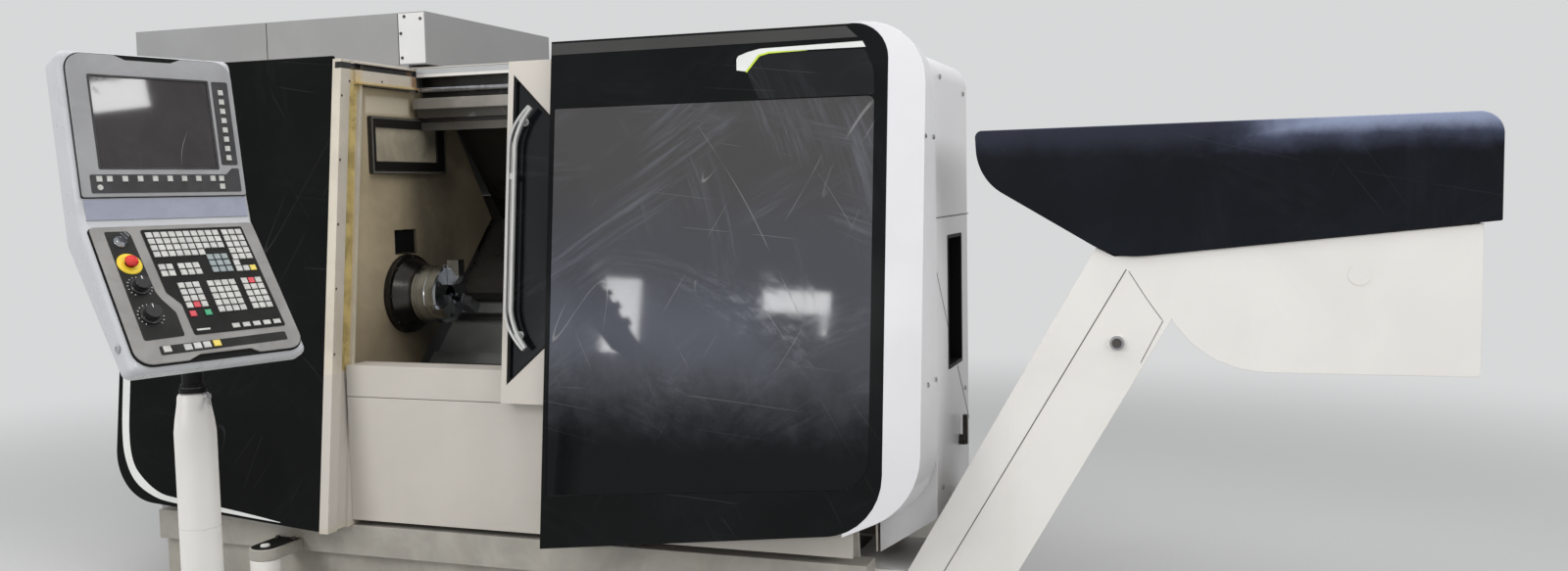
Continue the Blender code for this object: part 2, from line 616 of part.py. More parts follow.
def make_turret():
    """Z saddle, cross slide with turret body, and the indexing tool disc."""
    low = TURRET_WAYS_S[0]
    high = TURRET_WAYS_S[1] + WAY_WIDTH
    x1 = SADDLE_X0 + SADDLE_LENGTH
    top = WAY_HEIGHT + SADDLE_THICK
    under = 0.030
    neck = WAY_WIDTH * 0.18
    outline = [(low - 0.03, top), (low - 0.03, 0.012)]
    for s in TURRET_WAYS_S:
        outline += [(s - RUN, 0.012), (s - RUN, 0.0145 - neck / 4), (s + neck - RUN, 0.0145),
                    (s + neck - RUN, 0.0255), (s - RUN, 0.034), (s - RUN, WAY_HEIGHT + RUN),
                    (s + WAY_WIDTH + RUN, WAY_HEIGHT + RUN), (s + WAY_WIDTH + RUN, 0.034),
                    (s + WAY_WIDTH - neck + RUN, 0.0255), (s + WAY_WIDTH - neck + RUN, 0.0145),
                    (s + WAY_WIDTH + RUN, 0.0145 - neck / 4), (s + WAY_WIDTH + RUN, 0.012)]
        if s == low:
            outline += [(s + WAY_WIDTH + 0.025, 0.012), (s + WAY_WIDTH + 0.035, under),
                        (TURRET_WAYS_S[1] - 0.035, under), (TURRET_WAYS_S[1] - 0.025, 0.012)]
    outline += [(high + 0.018, 0.012), (high + 0.018, top)]
    saddle = prism("z_saddle", outline, SADDLE_LENGTH, slant_frame(SADDLE_X0), IRON)
    rails_x = (SADDLE_X0 + 0.06, x1 - 0.10)
    for x in rails_x:
        join(saddle, box("cross_way", (low - 0.03, high + 0.018), (top - 0.002, top + 0.030),
                         (0.0, 0.040), None, slant_frame(x)))
    seat = top + 0.012
    slide = prism("turret_slide", [(SADDLE_X0 + 0.005, seat), (rails_x[0] - RUN, seat),
                                   (rails_x[0] - RUN, top + 0.030 + RUN),
                                   (rails_x[0] + 0.04 + RUN, top + 0.030 + RUN),
                                   (rails_x[0] + 0.04 + RUN, seat), (rails_x[1] - RUN, seat),
                                   (rails_x[1] - RUN, top + 0.030 + RUN),
                                   (rails_x[1] + 0.04 + RUN, top + 0.030 + RUN),
                                   (rails_x[1] + 0.04 + RUN, seat), (x1 - 0.03, seat),
                                   (x1 - 0.03, top + 0.060), (SADDLE_X0 + 0.005, top + 0.060)],
                  0.26, frame(slant_point(TURRET_S + 0.16, 0), (1, 0, 0),
                              (0, -math.sin(BED_SLANT), math.cos(BED_SLANT))), IRON)
    head = box("turret_head", (TURRET_S - 0.100, TURRET_S + 0.110), (top + 0.058, SPINDLE_N + 0.105),
               (0.030, SADDLE_LENGTH - 0.020), None, slant_frame(SADDLE_X0))
    round_edges(head, 0.03, 2)
    join(slide, head)
    boss = SADDLE_X0 + 0.010
    centre = slant_point(TURRET_S, SPINDLE_N)
    join(slide, rod("turret_shaft", (boss + 0.05, centre.y, centre.z), (boss, centre.y, centre.z),
                    0.060, None, sides=24))
    disc = make_disc(centre, boss - SEAT)
    return [saddle, slide, disc]


def make_disc(centre, x1):
    """Twelve-station disc with tool holders on every other station and bits in them."""
    flats = [(DISC_RADIUS * math.cos(math.pi * (2 * k + 1) / STATIONS) * 1.0,
              DISC_RADIUS * math.sin(math.pi * (2 * k + 1) / STATIONS)) for k in range(STATIONS)]
    matrix = frame((x1 - DISC_WIDTH, centre.y, centre.z), (0, 1, 0), (0, 0, 1))
    disc = prism("turret_disc", flats, DISC_WIDTH, matrix, STEEL)
    flat = DISC_RADIUS * math.cos(math.pi / STATIONS)
    cut(disc, rod("disc_recess", (x1 - DISC_WIDTH - 0.02, centre.y, centre.z),
                  (x1 - DISC_WIDTH + 0.012, centre.y, centre.z), 0.055, None, sides=24))
    for k in range(0, STATIONS, 2):
        turn = matrix @ Matrix.Rotation(2 * math.pi * k / STATIONS, 4, "Z")
        join(disc, box("tool_holder", (flat - 0.002, flat + 0.034), (-0.024, 0.024),
                       (0.014, 0.074), None, turn))
        join(disc, box("tool_bit", (flat + 0.030, flat + 0.058), (-0.006, 0.006),
                       (0.020, 0.032), None, turn))
    return disc


def make_way_covers():
    """Telescopic covers over the turret guideways, left of the saddle."""
    made = []
    start = WALL_X + 0.004 + RUN
    first = SADDLE_X0 - Z_TRAVEL - 0.010
    lap = 0.036
    second = SADDLE_X0 - Z_TRAVEL / 2 - 0.006
    stages = (("way_cover_fixed", start, first), ("way_cover_middle", first - lap, second),
              ("way_cover_saddle", second - lap, SADDLE_X0 - SEAT))
    low = TURRET_WAYS_S[0] - 0.035
    high = TURRET_WAYS_S[1] + WAY_WIDTH + 0.004
    for index, (name, x0, x1) in enumerate(stages):
        rise = index * (COVER_THICK + RUN)
        n = WAY_HEIGHT + 0.010 + rise
        grow = rise
        outline = [(low - grow, 0.008), (low - grow, n), (high, n), (high, n - COVER_THICK),
                   (low - grow + COVER_THICK, n - COVER_THICK), (low - grow + COVER_THICK, 0.008)]
        made.append(prism(name, outline, x1 - x0, slant_frame(x0), COVER))
    return made


def make_tailstock():
    """Tailstock on the lower guideways, with its quill and centre."""
    s0 = TAILSTOCK_WAYS_S[0]
    s1 = TAILSTOCK_WAYS_S[1] + WAY_WIDTH
    x1 = TAILSTOCK_X0 + TAILSTOCK_LENGTH
    foot = WAY_HEIGHT + RUN
    outline = [(s0 - 0.006, 0.036), (s0 - RUN, 0.036), (s0 - RUN, foot),
               (s0 + WAY_WIDTH + RUN, foot), (s0 + WAY_WIDTH + RUN, 0.020),
               (TAILSTOCK_WAYS_S[1] - RUN, 0.020), (TAILSTOCK_WAYS_S[1] - RUN, foot),
               (s1 + RUN, foot), (s1 + RUN, 0.036), (s1 + 0.006, 0.036), (s1 + 0.006, 0.090)]
    top = fillet([(SPINDLE_S + 0.075, 0.12, 0), (SPINDLE_S + 0.075, SPINDLE_N + 0.075, 0.06),
                  (SPINDLE_S - 0.075, SPINDLE_N + 0.075, 0.06), (SPINDLE_S - 0.085, 0.12, 0.03)], 4)
    outline += top + [(s0 - 0.006, 0.090)]
    body = prism("tailstock", outline, TAILSTOCK_LENGTH, slant_frame(TAILSTOCK_X0), IRON)
    cut(body, rod("quill_bore", (TAILSTOCK_X0 - 0.1, SPINDLE_Y, SPINDLE_Z),
                  (x1 - 0.03, SPINDLE_Y, SPINDLE_Z), QUILL_RADIUS + RUN, None, sides=32))
    tip = TAILSTOCK_X0 - 0.125
    profile = [(0.0, x1 - 0.14), (QUILL_RADIUS, x1 - 0.14), (QUILL_RADIUS, TAILSTOCK_X0 - 0.05),
               (QUILL_RADIUS - 0.003, TAILSTOCK_X0 - 0.053), (0.026, TAILSTOCK_X0 - 0.053),
               (0.026, TAILSTOCK_X0 - 0.085), (0.0, tip)]
    quill = turned("tailstock_quill", profile, AXIS_X, STEEL, steps=32)
    return [body, quill]


def make_front():
    """Lower front plate, sill with its inner chute, and the door jamb with its top return."""
    x0 = 0.0
    x1 = RIGHT_PANEL_X1 - SHELL_OVERLAP - SEAT * 2
    fascia = box("lower_front_plate", (x0 + SEAT, x1), (0, 0.012), (FASCIA_Z, FASCIA_TOP - 0.002), CREAM)
    lip = BEAM_Z1 + SEAT
    sill_profile = [(0, FASCIA_TOP), (0, SILL_Z), (0.110, SILL_Z), (0.110, SILL_Z - SHEET),
                    (0.030, SILL_Z - SHEET), (0.030, FASCIA_TOP - 0.02), (0.0900, lip),
                    (0.0840, lip), (0.024, FASCIA_TOP - 0.022), (0.024, FASCIA_TOP)]
    sill = prism("sill", sill_profile, x1 - x0 - SEAT, side_frame(x0 + SEAT), CREAM)
    depth = JAMB_FOOT_DEPTH
    groove = 0.012
    near, far = JAMB_GROOVE
    post = [(-JAMB_WIDTH, 0.0), (-JAMB_WIDTH, -depth), (0, -depth), (0, -far), (-groove, -far),
            (-groove, -near), (0, -near), (0, 0)]
    s0 = lean_s(0.298)
    s1 = lean_s(FRONT_TOP_Z - 0.012)
    along = (0, math.sin(LEAN), math.cos(LEAN))
    out = Vector((0, -math.cos(LEAN), math.sin(LEAN)))
    start = Vector((0, -PANEL_STANDOFF, SILL_Z)) + Vector(along) * s1
    matrix = frame(start, (1, 0, 0), out)
    jamb = prism("door_jamb", post, s1 - s0, matrix, CREAM)
    relief = [(-0.1, -JAMB_DEPTH), (0.1, -JAMB_DEPTH), (0.1, -0.4), (-0.1, -0.4)]
    cut(jamb, prism("jamb_relief", relief, s1 + 0.1 - lean_s(JAMB_FOOT_TOP_Z),
                    matrix @ Matrix.Translation((0, 0, -0.1)), None))
    cut(jamb, box("jamb_foot", (-0.1, 0.1), (-0.3, 0.3), (0.2, BEAM_Z1 + SEAT * 2), None))
    ret = [(-JAMB_WIDTH, 1.850), (0.012, 1.850), (0.012, 1.858), (0, 1.858), (0, 1.900),
           (-0.020, 1.900), (-0.020, 1.922), (0, 1.922), (0, ROOF_Z - 0.010), (-JAMB_WIDTH, ROOF_Z - 0.010)]
    back = prism("top_return", ret, 0.482 - 0.125, front_frame(0.482), None)
    return [fascia, sill, join(jamb, back)]


def make_top_beam():
    """Beam over the opening, with the stepped light channel and the door's steel guide rail."""
    x0 = WALL_X + 0.004 + LAMP_PROUD + SEAT * 2
    x1 = BED_RIGHT_X + 0.02
    top = ROOF_Z - SHEET - SEAT
    profile = [(0.500, 1.900), (0.500, top), (0.560, top), (0.560, 1.700), (0.520, 1.700),
               (0.520, 1.745), (0.495, 1.745), (0.495, 1.779), (0.470, 1.779), (0.470, 1.819),
               (0.540, 1.819), (0.540, 1.900)]
    beam = prism("top_beam", profile, x1 - x0, side_frame(x0), CREAM)
    rail_y, rail_z = RAIL_YZ
    join(beam, rod("guide_rail", (x0, rail_y, rail_z), (x1, rail_y, rail_z), RAIL_RADIUS, None, sides=12))
    count = 4
    for k in range(count):
        x = x0 + (x1 - x0) * (k + 0.5) / count
        join(beam, box("rail_bracket", (x - 0.012, x + 0.012), (rail_y - 0.004, 0.542),
                       (rail_z - 0.006, rail_z + 0.006), None))
    return [beam]


def left_outline():
    """Left black panel in the leaning plane."""
    x0 = LEFT_PANEL_X0
    x1 = -JAMB_WIDTH - SEAT
    return fillet([(x1, lean_s(0.304), 0), (x1, lean_s(FRONT_TOP_Z), 0),
                   (x0, lean_s(FRONT_TOP_Z), 0.110), (x0, lean_s(0.372), 0.190)], 8)


def right_outline(grow=0.0):
    """Right black panel in the leaning plane, grown past its right-hand edges."""
    x0 = RIGHT_PANEL_X0
    x1 = RIGHT_PANEL_X1 + grow
    rise = 0.107
    fall = rise * RIGHT_FRONT_WIDTH / 0.980
    return fillet([(x0, lean_s(0.310), 0), (x1, lean_s(0.310 + fall) - grow, 0.190 + grow),
                   (x1, lean_s(FRONT_TOP_Z) + grow, 0.110 + grow), (x0, lean_s(FRONT_TOP_Z) + grow, 0)], 8)


def make_fronts():
    """Black leaning front panels, the big side window and the white end shell."""
    back = lean_frame(-PANEL_THICK)
    left = prism("left_front_panel", left_outline(), PANEL_THICK, back, BLACK)
    right = prism("right_front_panel", right_outline(), PANEL_THICK, back, BLACK)
    pane = [(RIGHT_PANEL_X0 + 0.016, lean_s(0.480)), (RIGHT_PANEL_X1 - 0.040, lean_s(0.560)),
            (RIGHT_PANEL_X1 - 0.040, lean_s(1.726)), (RIGHT_PANEL_X0 + 0.016, lean_s(1.726))]
    hole = prism("window_hole", pane, 0.1, lean_frame(-0.05), None)
    cut(right, hole)
    inset = 0.0005
    glass = [(pane[0][0] + inset, pane[0][1] + inset), (pane[1][0] - inset, pane[1][1] + inset),
             (pane[2][0] - inset, pane[2][1] - inset), (pane[3][0] + inset, pane[3][1] - inset)]
    window = prism("right_window", glass, PANEL_THICK - 0.006, lean_frame(-PANEL_THICK + 0.004), GLASS)
    return [left, right, window, make_shell()]


def make_shell():
    """White end shell that wraps the right front corner, rounded on its outer edges."""
    gap = SEAT * 1.5
    x1 = SHELL_X1
    outer = fillet([(RIGHT_PANEL_X1 - 0.38, lean_s(FRONT_TOP_Z) + 0.004, 0),
                    (RIGHT_PANEL_X1 - 0.38, lean_s(0.30), 0), (x1, lean_s(0.520), 0.230),
                    (x1, lean_s(FRONT_TOP_Z) + 0.004, 0.190)], 8)
    depth = SHELL_BACK_Y + PANEL_STANDOFF
    shell = prism("right_end_shell", outer, depth, lean_frame(-depth), CREAM)
    keep = prism("shell_inside", right_outline(gap), depth * 2, lean_frame(-depth * 1.5), None)
    cut(shell, keep)
    cut(shell, box("shell_back", (0, 3), (SHELL_BACK_Y, 1.0), (0, 3), None))
    cut(shell, box("shell_left", (0, RIGHT_PANEL_X1 - SHELL_OVERLAP), (-1, 1.0), (0, 3), None))
    return round_edges(shell, 0.028, 3, 60)


def make_right_end():
    """Side cover with its recess, and the swivel latch below it."""
    x0 = BED_RIGHT_X + 0.036
    z0 = BEAM_Z1 + SEAT
    y0 = SHELL_BACK_Y + SEAT
    outline = fillet([(x0, z0, 0), (SIDE_X, z0 + 0.12, 0.02), (SIDE_X, SIDE_TOP_Z, 0.080),
                      (x0, SIDE_TOP_Z + 0.045, 0)], 6)
    cover = prism("right_side_cover", outline, SIDE_BACK_Y - y0, front_frame(SIDE_BACK_Y), CREAM)
    cut(cover, box("cover_hollow", (x0 - 0.1, SIDE_X - SHEET), (y0 + SHEET, SIDE_BACK_Y - SHEET),
                   (z0 + 0.15, SIDE_TOP_Z - 0.07), None))
    pocket_x = SIDE_X - 0.045
    pocket = prism("recess_box", rect(RECESS_Y[0] - 0.006, RECESS_Y[1] + 0.006, RECESS_Z[0] - 0.006,
                                      RECESS_Z[1] + 0.006), 0.043, side_frame(pocket_x), None)
    join(cover, pocket)
    ledge = prism("recess_cut", [(RECESS_Y[0], RECESS_Z[0]), (RECESS_Y[1], RECESS_Z[0]),
                                 (RECESS_Y[1], RECESS_Z[1]), (RECESS_Y[0], RECESS_Z[1])], 0.2,
                  side_frame(pocket_x + 0.004), None)
    cut(cover, ledge)
    latch_y = 0.520
    latch_z = 0.600
    latch = rod("side_latch", (SIDE_X + SEAT, latch_y, latch_z), (SIDE_X + 0.020, latch_y, latch_z),
                0.018, STEEL, sides=20)
    join(latch, box("latch_grip", (SIDE_X + 0.012, SIDE_X + 0.028), (latch_y - 0.010, latch_y + 0.010),
                    (latch_z - 0.014, latch_z + 0.085), None))
    return [cover, latch]


def band(points, thick):
    """A bent sheet outline: the points' path and its copy set back by the sheet thickness."""
    path = [Vector(p) for p in points]
    inner = []
    for i, point in enumerate(path):
        ahead = (path[min(i + 1, len(path) - 1)] - path[max(i, 0)])
        behind = (path[i] - path[i - 1]) if i else ahead
        ahead = ahead if ahead.length else behind
        a = Vector((-behind.y, behind.x)).normalized()
        b = Vector((-ahead.y, ahead.x)).normalized()
        mid = (a + b).normalized()
        inner.append(point + mid * thick / max(mid.dot(a), 0.2))
    return [tuple(p) for p in path] + [tuple(p) for p in reversed(inner)]


def make_sheets():
    """Outer roof, rear and left sheets, the right bulkhead and the inner rear slope."""
    left = fillet([(-0.925, BEAM_Z1 + SEAT, 0), (-0.925, ROOF_Z, 0.030), (-JAMB_WIDTH - SEAT, ROOF_Z, 0),
                   (-JAMB_WIDTH - SEAT, ROOF_Z - SHEET, 0), (-0.925 + SHEET, ROOF_Z - SHEET, 0.025),
                   (-0.925 + SHEET, BEAM_Z1 + SEAT, 0)], 4)
    left_cover = prism("left_end_cover", left, 0.499 - 0.080, front_frame(0.499), CREAM)
    bulk_x = BED_RIGHT_X + 0.022
    roof_path = [(0.170, ROOF_Z), (0.640, ROOF_Z), (BED_BACK_Y + 0.07, 1.500),
                 (BED_BACK_Y + 0.07, ROOF_TAIL_Z)]
    roof = prism("roof", band(list(reversed(roof_path)), SHEET), bulk_x + JAMB_WIDTH,
                 side_frame(-JAMB_WIDTH), CREAM)
    cut(roof, box("roof_notch", (-0.1, RIGHT_PANEL_X0 + 0.02), (0, 0.499), (1.6, 2.2), None))
    rear_y = BED_BACK_Y + 0.065
    rear = box("rear_panel", (CABINET_LEG_X1 + SEAT, bulk_x), (rear_y, rear_y + SHEET),
               (BEAM_Z1 + SEAT, ROOF_TAIL_Z - SEAT), CREAM)
    front = SHELL_BACK_Y + SEAT
    profile = [(front, BEAM_Z1 + SEAT), (front, ROOF_Z - SHEET - RUN), (0.636, ROOF_Z - SHEET - RUN),
               (BED_BACK_Y + 0.040, 1.500), (BED_BACK_Y + 0.040, BEAM_Z1 + SEAT)]
    bulk = prism("right_bulkhead", profile, 0.006, side_frame(bulk_x - 0.001 + RUN), CREAM)
    crest = slant_point(BED_SLOPE_LENGTH, 0)
    slope_z = ROOF_Z - 0.098
    slope = [(0.690, slope_z), (crest.y + 0.030, crest.z + SEAT), (crest.y + 0.036, crest.z + SEAT),
             (0.696, slope_z)]
    inner = prism("inner_rear_slope", slope, bulk_x - WALL_X - 0.010, side_frame(WALL_X + 0.006), COVER)
    return [left_cover, roof, rear, bulk, inner]


def make_door():
    """Sliding door: leaning leaf with its roof return, recessed window and arched grab bar."""
    x0 = DOOR_X0
    x1 = DOOR_X0 + DOOR_WIDTH
    back = DOOR_SETBACK + DOOR_THICK
    leaf = prism("sliding_door", rect(x0, x1, lean_s(DOOR_Z0), lean_s(DOOR_Z1)), DOOR_THICK,
                 lean_frame(-back), CREAM)
    stile = DOOR_STILE
    chamfer = DOOR_CHAMFER
    left = x0 + stile
    right = x1 - 0.030
    low = lean_s(DOOR_Z0) + 0.060
    high = lean_s(DOOR_Z1) - 0.045
    opening = [(left, low), (left + chamfer, low + chamfer * 0.9), (right, low + chamfer * 0.9),
               (right, high - chamfer), (left + chamfer, high - chamfer), (left, high)]
    floor = -back + DOOR_FLOOR
    cut(leaf, prism("door_recess", opening, 0.1, lean_frame(floor), None))
    hole = [(left + 0.11, low + 0.22), (right - 0.02, low + 0.22), (right - 0.02, high - 0.22),
            (left + 0.11, high - 0.22)]
    cut(leaf, prism("door_hole", hole, 0.2, lean_frame(-back - 0.1), None))
    window = prism("door_window", shrink(opening, 0.0005), DOOR_PANE, lean_frame(floor + SEAT), GLASS)
    top_y = leaning_y(DOOR_Z1, back)
    leaf_z = DOOR_Z1 - 0.008
    roof = box("door_roof", (x0, x1), (top_y - 0.02, 0.455), (leaf_z - 0.004, leaf_z), None)
    join(leaf, roof)
    rail_y, rail_z = RAIL_YZ
    grip = RAIL_RADIUS + SEAT
    for x in (x0 + 0.12, x1 - 0.20):
        hanger = fillet([(0.440, leaf_z - 0.002, 0), (0.440, rail_z - 0.016, 0.004),
                         (rail_y + 0.006, rail_z - 0.016, 0), (rail_y + 0.006, rail_z - grip, 0),
                         (rail_y - grip, rail_z - grip, 0), (rail_y - grip, rail_z + grip, 0),
                         (rail_y + 0.004, rail_z + grip, 0), (rail_y + 0.004, leaf_z - 0.002, 0)], 2)
        join(leaf, prism("door_hanger", hanger, 0.08, side_frame(x), None))
    return [leaf, window, make_handle()]


def make_handle():
    """Arched double-strip grab bar on two standoffs."""
    x = DOOR_X0 + 0.034
    low = lean_s(0.947)
    high = lean_s(1.738)
    bend = 0.135
    lean_in = 0.064
    width = 0.030
    path = []
    steps = 6
    for k in range(steps + 1):
        t = 1 - k / steps
        path.append(Vector((x + lean_in * t * t, low + bend * (1 - t))))
    for k in range(steps + 1):
        t = k / steps
        path.append(Vector((x + lean_in * t * t, high - bend * (1 - t))))
    sides = []
    for i, point in enumerate(path):
        along = (path[min(i + 1, len(path) - 1)] - path[max(i - 1, 0)]).normalized()
        sides.append((point, Vector((-along.y, along.x)) * width / 2))
    outline = [tuple(p + w) for p, w in sides] + [tuple(p - w) for p, w in reversed(sides)]
    stand = 0.026
    bottom = -DOOR_SETBACK - DOOR_THICK + DOOR_FLOOR + SEAT + DOOR_PANE
    depth = 0.014
    bar = prism("door_handle", outline, depth, lean_frame(bottom + SEAT + stand), STEEL)
    slot = rect(x - 0.003, x + 0.003, low + bend + 0.04, high - bend - 0.04)
    cut(bar, prism("grip_slot", slot, 0.1, lean_frame(-0.1), None))
    for s in (low + 0.045, high - 0.045):
        centre = (x + lean_in * 0.44, s)
        base = lean_frame(bottom + SEAT) @ Vector((centre[0], centre[1], 0))
        tip = lean_frame(bottom + SEAT + stand + 0.002) @ Vector((centre[0], centre[1], 0))
        join(bar, rod("standoff", base, tip, 0.009, None, sides=14))
    return bar


def make_cabinet():
    """Electrical cabinet: casing over the headstock with its leg, door and rotary main switch."""
    outline = [(CABINET_X0, 0.05), (CABINET_LEG_X1, 0.05), (CABINET_LEG_X1, CABINET_UNDERSIDE_Z),
               (WALL_X - 0.011, CABINET_UNDERSIDE_Z), (WALL_X - 0.011, ROOF_Z + 0.012),
               (CABINET_X1, ROOF_Z + 0.012), (CABINET_X1, CABINET_TOP_Z), (CABINET_X0, CABINET_TOP_Z)]
    body = prism("electrical_cabinet", outline, CABINET_Y1 - CABINET_Y0, front_frame(CABINET_Y1), GREY)
    wall = CABINET_WALL
    frame_y = 0.040
    inside_y = (CABINET_Y0 + frame_y, CABINET_Y1 - frame_y)
    cut(body, box("cabinet_inside", (CABINET_X0 - 0.1, CABINET_LEG_X1 - wall * 2), inside_y,
                  (0.12, CABINET_TOP_Z - 0.09), None))
    foot_y = (CABINET_Y0 + 0.06, CABINET_Y1 - 0.06)
    for y in foot_y:
        for x in (CABINET_X0 + 0.06, CABINET_LEG_X1 - 0.06):
            join(body, rod("cabinet_foot", (x, y, 0), (x, y, 0.052), 0.030, None, sides=14))
    door_y = (CABINET_Y0 + 0.018, CABINET_Y1 - 0.018)
    x1 = CABINET_X0 - SEAT
    x0 = x1 - CABINET_DOOR_THICK
    door = box("cabinet_door", (x0, x1), door_y, (0.085, CABINET_TOP_Z - 0.055), GREY)
    switch = rod("main_switch", (x0 - SEAT, CABINET_Y0 + 0.20, 1.50), (x0 - 0.012, CABINET_Y0 + 0.20, 1.50),
                 0.028, RED, sides=24)
    join(switch, box("switch_grip", (x0 - 0.032, x0 - 0.010), (CABINET_Y0 + 0.193, CABINET_Y0 + 0.207),
                     (1.474, 1.526), None))
    return [body, door, switch]


def incline_points():
    """Bench (x, z) of the rising casing: where its upper line meets the hood, its lower line at
    that level, and where the lower line meets the floor pan."""
    slope = math.tan(INCLINE)
    (ax, az), (bx, bz) = HOOD_UNDERSIDE[:2]
    fall = (bz - az) / (bx - ax)
    meet_x = (az - fall * ax - TROUGH_Z1 + slope * TROUGH_X1) / (slope - fall)
    meet = Vector((meet_x, TROUGH_Z1 + slope * (meet_x - TROUGH_X1)))
    across = INCLINE_THICK / math.sin(INCLINE)
    lower = Vector((meet.x + across - (meet.y - HEAD_Z0) / slope, HEAD_Z0))
    pan_x = TROUGH_X1 + across - (TROUGH_Z1 - TROUGH_Z0) / slope
    return meet, lower, pan_x


def casing_outline():
    """Side outline of the casing: foot, incline, and the big head that the hood sits on."""
    meet, lower, pan_x = incline_points()
    slope = math.tan(INCLINE)
    knee = Vector((lower.x + HEAD_DROP / slope, lower.y + HEAD_DROP))
    under = [(x, z - SEAT) for x, z in HOOD_UNDERSIDE]
    end_z = under[2][1] + (HEAD_X1 - under[2][0]) * (under[3][1] - under[2][1]) / (under[3][0] - under[2][0])
    return fillet([(TROUGH_X1 + SEAT, TROUGH_Z1, 0), (TROUGH_X1 + SEAT, TROUGH_Z0, 0),
                   (pan_x, TROUGH_Z0, 0.050), (knee.x, knee.y, 0), (knee.x + 0.096, HEAD_Z0 - 0.002, 0.290),
                   (HEAD_X1, HEAD_Z0 + 0.002, 0.012), (HEAD_X1, end_z, 0), (*under[2], 0), (*under[1], 0),
                   (meet.x - 0.0005, meet.y - 0.001, 0)], 4)


def shrink(outline, amount):
    """Move a clockwise or anticlockwise outline inwards by a wall thickness."""
    area = sum(a[0] * b[1] - b[0] * a[1] for a, b in zip(outline, outline[1:] + outline[:1]))
    side = 1 if area > 0 else -1
    out = []
    count = len(outline)
    for i in range(count):
        p = Vector(outline[i])
        a = (p - Vector(outline[i - 1])).normalized()
        b = (Vector(outline[(i + 1) % count]) - p).normalized()
        na = Vector((-a.y, a.x)) * side
        nb = Vector((-b.y, b.x)) * side
        mid = (na + nb)
        out.append(tuple(p + mid * amount / max(mid.dot(na), 0.35)))
    return out


def hood_outline():
    """Side outline of the blue-black hood."""
    left, low, knee, right = HOOD_UNDERSIDE
    return fillet([(left[0] - 0.092, 1.612, 0.02), (right[0], 1.622, 0.060), (*right, 0), (*knee, 0),
                   (*low, 0), (*left, 0.06), (left[0] - 0.086, 1.500, 0.05)], 5)


def make_conveyor():
    """Hinge-belt chip conveyor: trough, rising casing with head, hood, belt, shaft and motor."""
    y0 = CONVEYOR_Y0
    y1 = CONVEYOR_Y1
    wall = CONVEYOR_WALL
    z0 = TROUGH_Z0
    z1 = TROUGH_Z1
    trough = box("conveyor_trough", (TROUGH_X0, TROUGH_X1), (y0, y1), (z0, z1), CREAM)
    cut(trough, box("trough_channel", (TROUGH_X0 + wall, TROUGH_X1 + 0.1), (y0 + wall, y1 - wall),
                    (z0 + wall, z1 - wall), None))
    cut(trough, box("chip_slot", (TROUGH_X0 + 0.03, BASE_RIGHT_X - 0.10), (y0 + 0.02, y1 - 0.02),
                    (z1 - 0.03, z1 + 0.1), None))
    outline = casing_outline()
    casing = prism("conveyor_casing", outline, y1 - y0, front_frame(y1), CREAM)
    hollow = prism("casing_hollow", shrink(outline, wall), y1 - y0 - 2 * wall, front_frame(y1 - wall), None)
    cut(casing, hollow)
    cut(casing, box("belt_inlet", (TROUGH_X1 - 0.05, TROUGH_X1 + 0.05), (y0 + wall, y1 - wall),
                    (z0 + wall, z1 - wall), None))
    cut(casing, box("discharge_mouth", (HEAD_X1 - 0.489, HEAD_X1 - 0.049),
                    (y0 + 0.04, y1 - 0.04), (0.8, 1.0), None))
    bolt_x, bolt_z = IDLER_XZ
    ring = rod("idler_boss", (bolt_x, y0 + 0.001, bolt_z), (bolt_x, y0 - 0.008, bolt_z), 0.022, None,
               sides=20)
    join(casing, ring)
    join(casing, rod("idler_end", (bolt_x, y0 - 0.006, bolt_z), (bolt_x, y0 - 0.016, bolt_z), 0.012,
                     None, sides=16))
    cut(casing, rod("shaft_hole", (HEAD_SHAFT_X, y0 - 0.1, HEAD_SHAFT_Z),
                    (HEAD_SHAFT_X, y1 + 0.1, HEAD_SHAFT_Z), 0.0206, None, sides=24))
    hood_y = (y0 - HOOD_PROUD, y1 + HOOD_PROUD)
    hood = prism("conveyor_hood", hood_outline(), hood_y[1] - hood_y[0], front_frame(hood_y[1]), HOOD)
    round_edges(hood, 0.018, 2, 50)
    drum = turned("conveyor_shaft",
                  [(0.0, y1 + 0.028), (0.020, y1 + 0.028), (0.020, y1 - wall - 0.02),
                   (DRUM_RADIUS, y1 - wall - 0.02), (DRUM_RADIUS, y0 + wall + 0.02),
                   (0.020, y0 + wall + 0.02), (0.020, y0 - 0.010), (0.0, y0 - 0.010)],
                  frame((HEAD_SHAFT_X, 0, HEAD_SHAFT_Z), (0, 0, 1), (1, 0, 0)), STEEL, steps=24)
    motor = make_motor(y1)
    return [trough, casing, hood, drum, motor, make_belt(y0, y1)]


def make_motor(y1):
    """Gear motor flanged to the hidden side of the conveyor head."""
    y = y1 + SEAT
    motor = box("conveyor_motor", (HEAD_SHAFT_X - 0.065, HEAD_SHAFT_X + 0.065), (y, y + 0.090),
                (HEAD_SHAFT_Z - 0.065, HEAD_SHAFT_Z + 0.045), GREY)
    cut(motor, rod("motor_bore", (HEAD_SHAFT_X, y - 0.05, HEAD_SHAFT_Z),
                   (HEAD_SHAFT_X, y + 0.035, HEAD_SHAFT_Z), 0.0206, None, sides=24))
    join(motor, rod("motor_barrel", (HEAD_SHAFT_X - 0.06, y + 0.045, HEAD_SHAFT_Z - 0.010),
                    (HEAD_SHAFT_X - 0.26, y + 0.045, HEAD_SHAFT_Z - 0.010), 0.044, None, sides=24))
    return motor


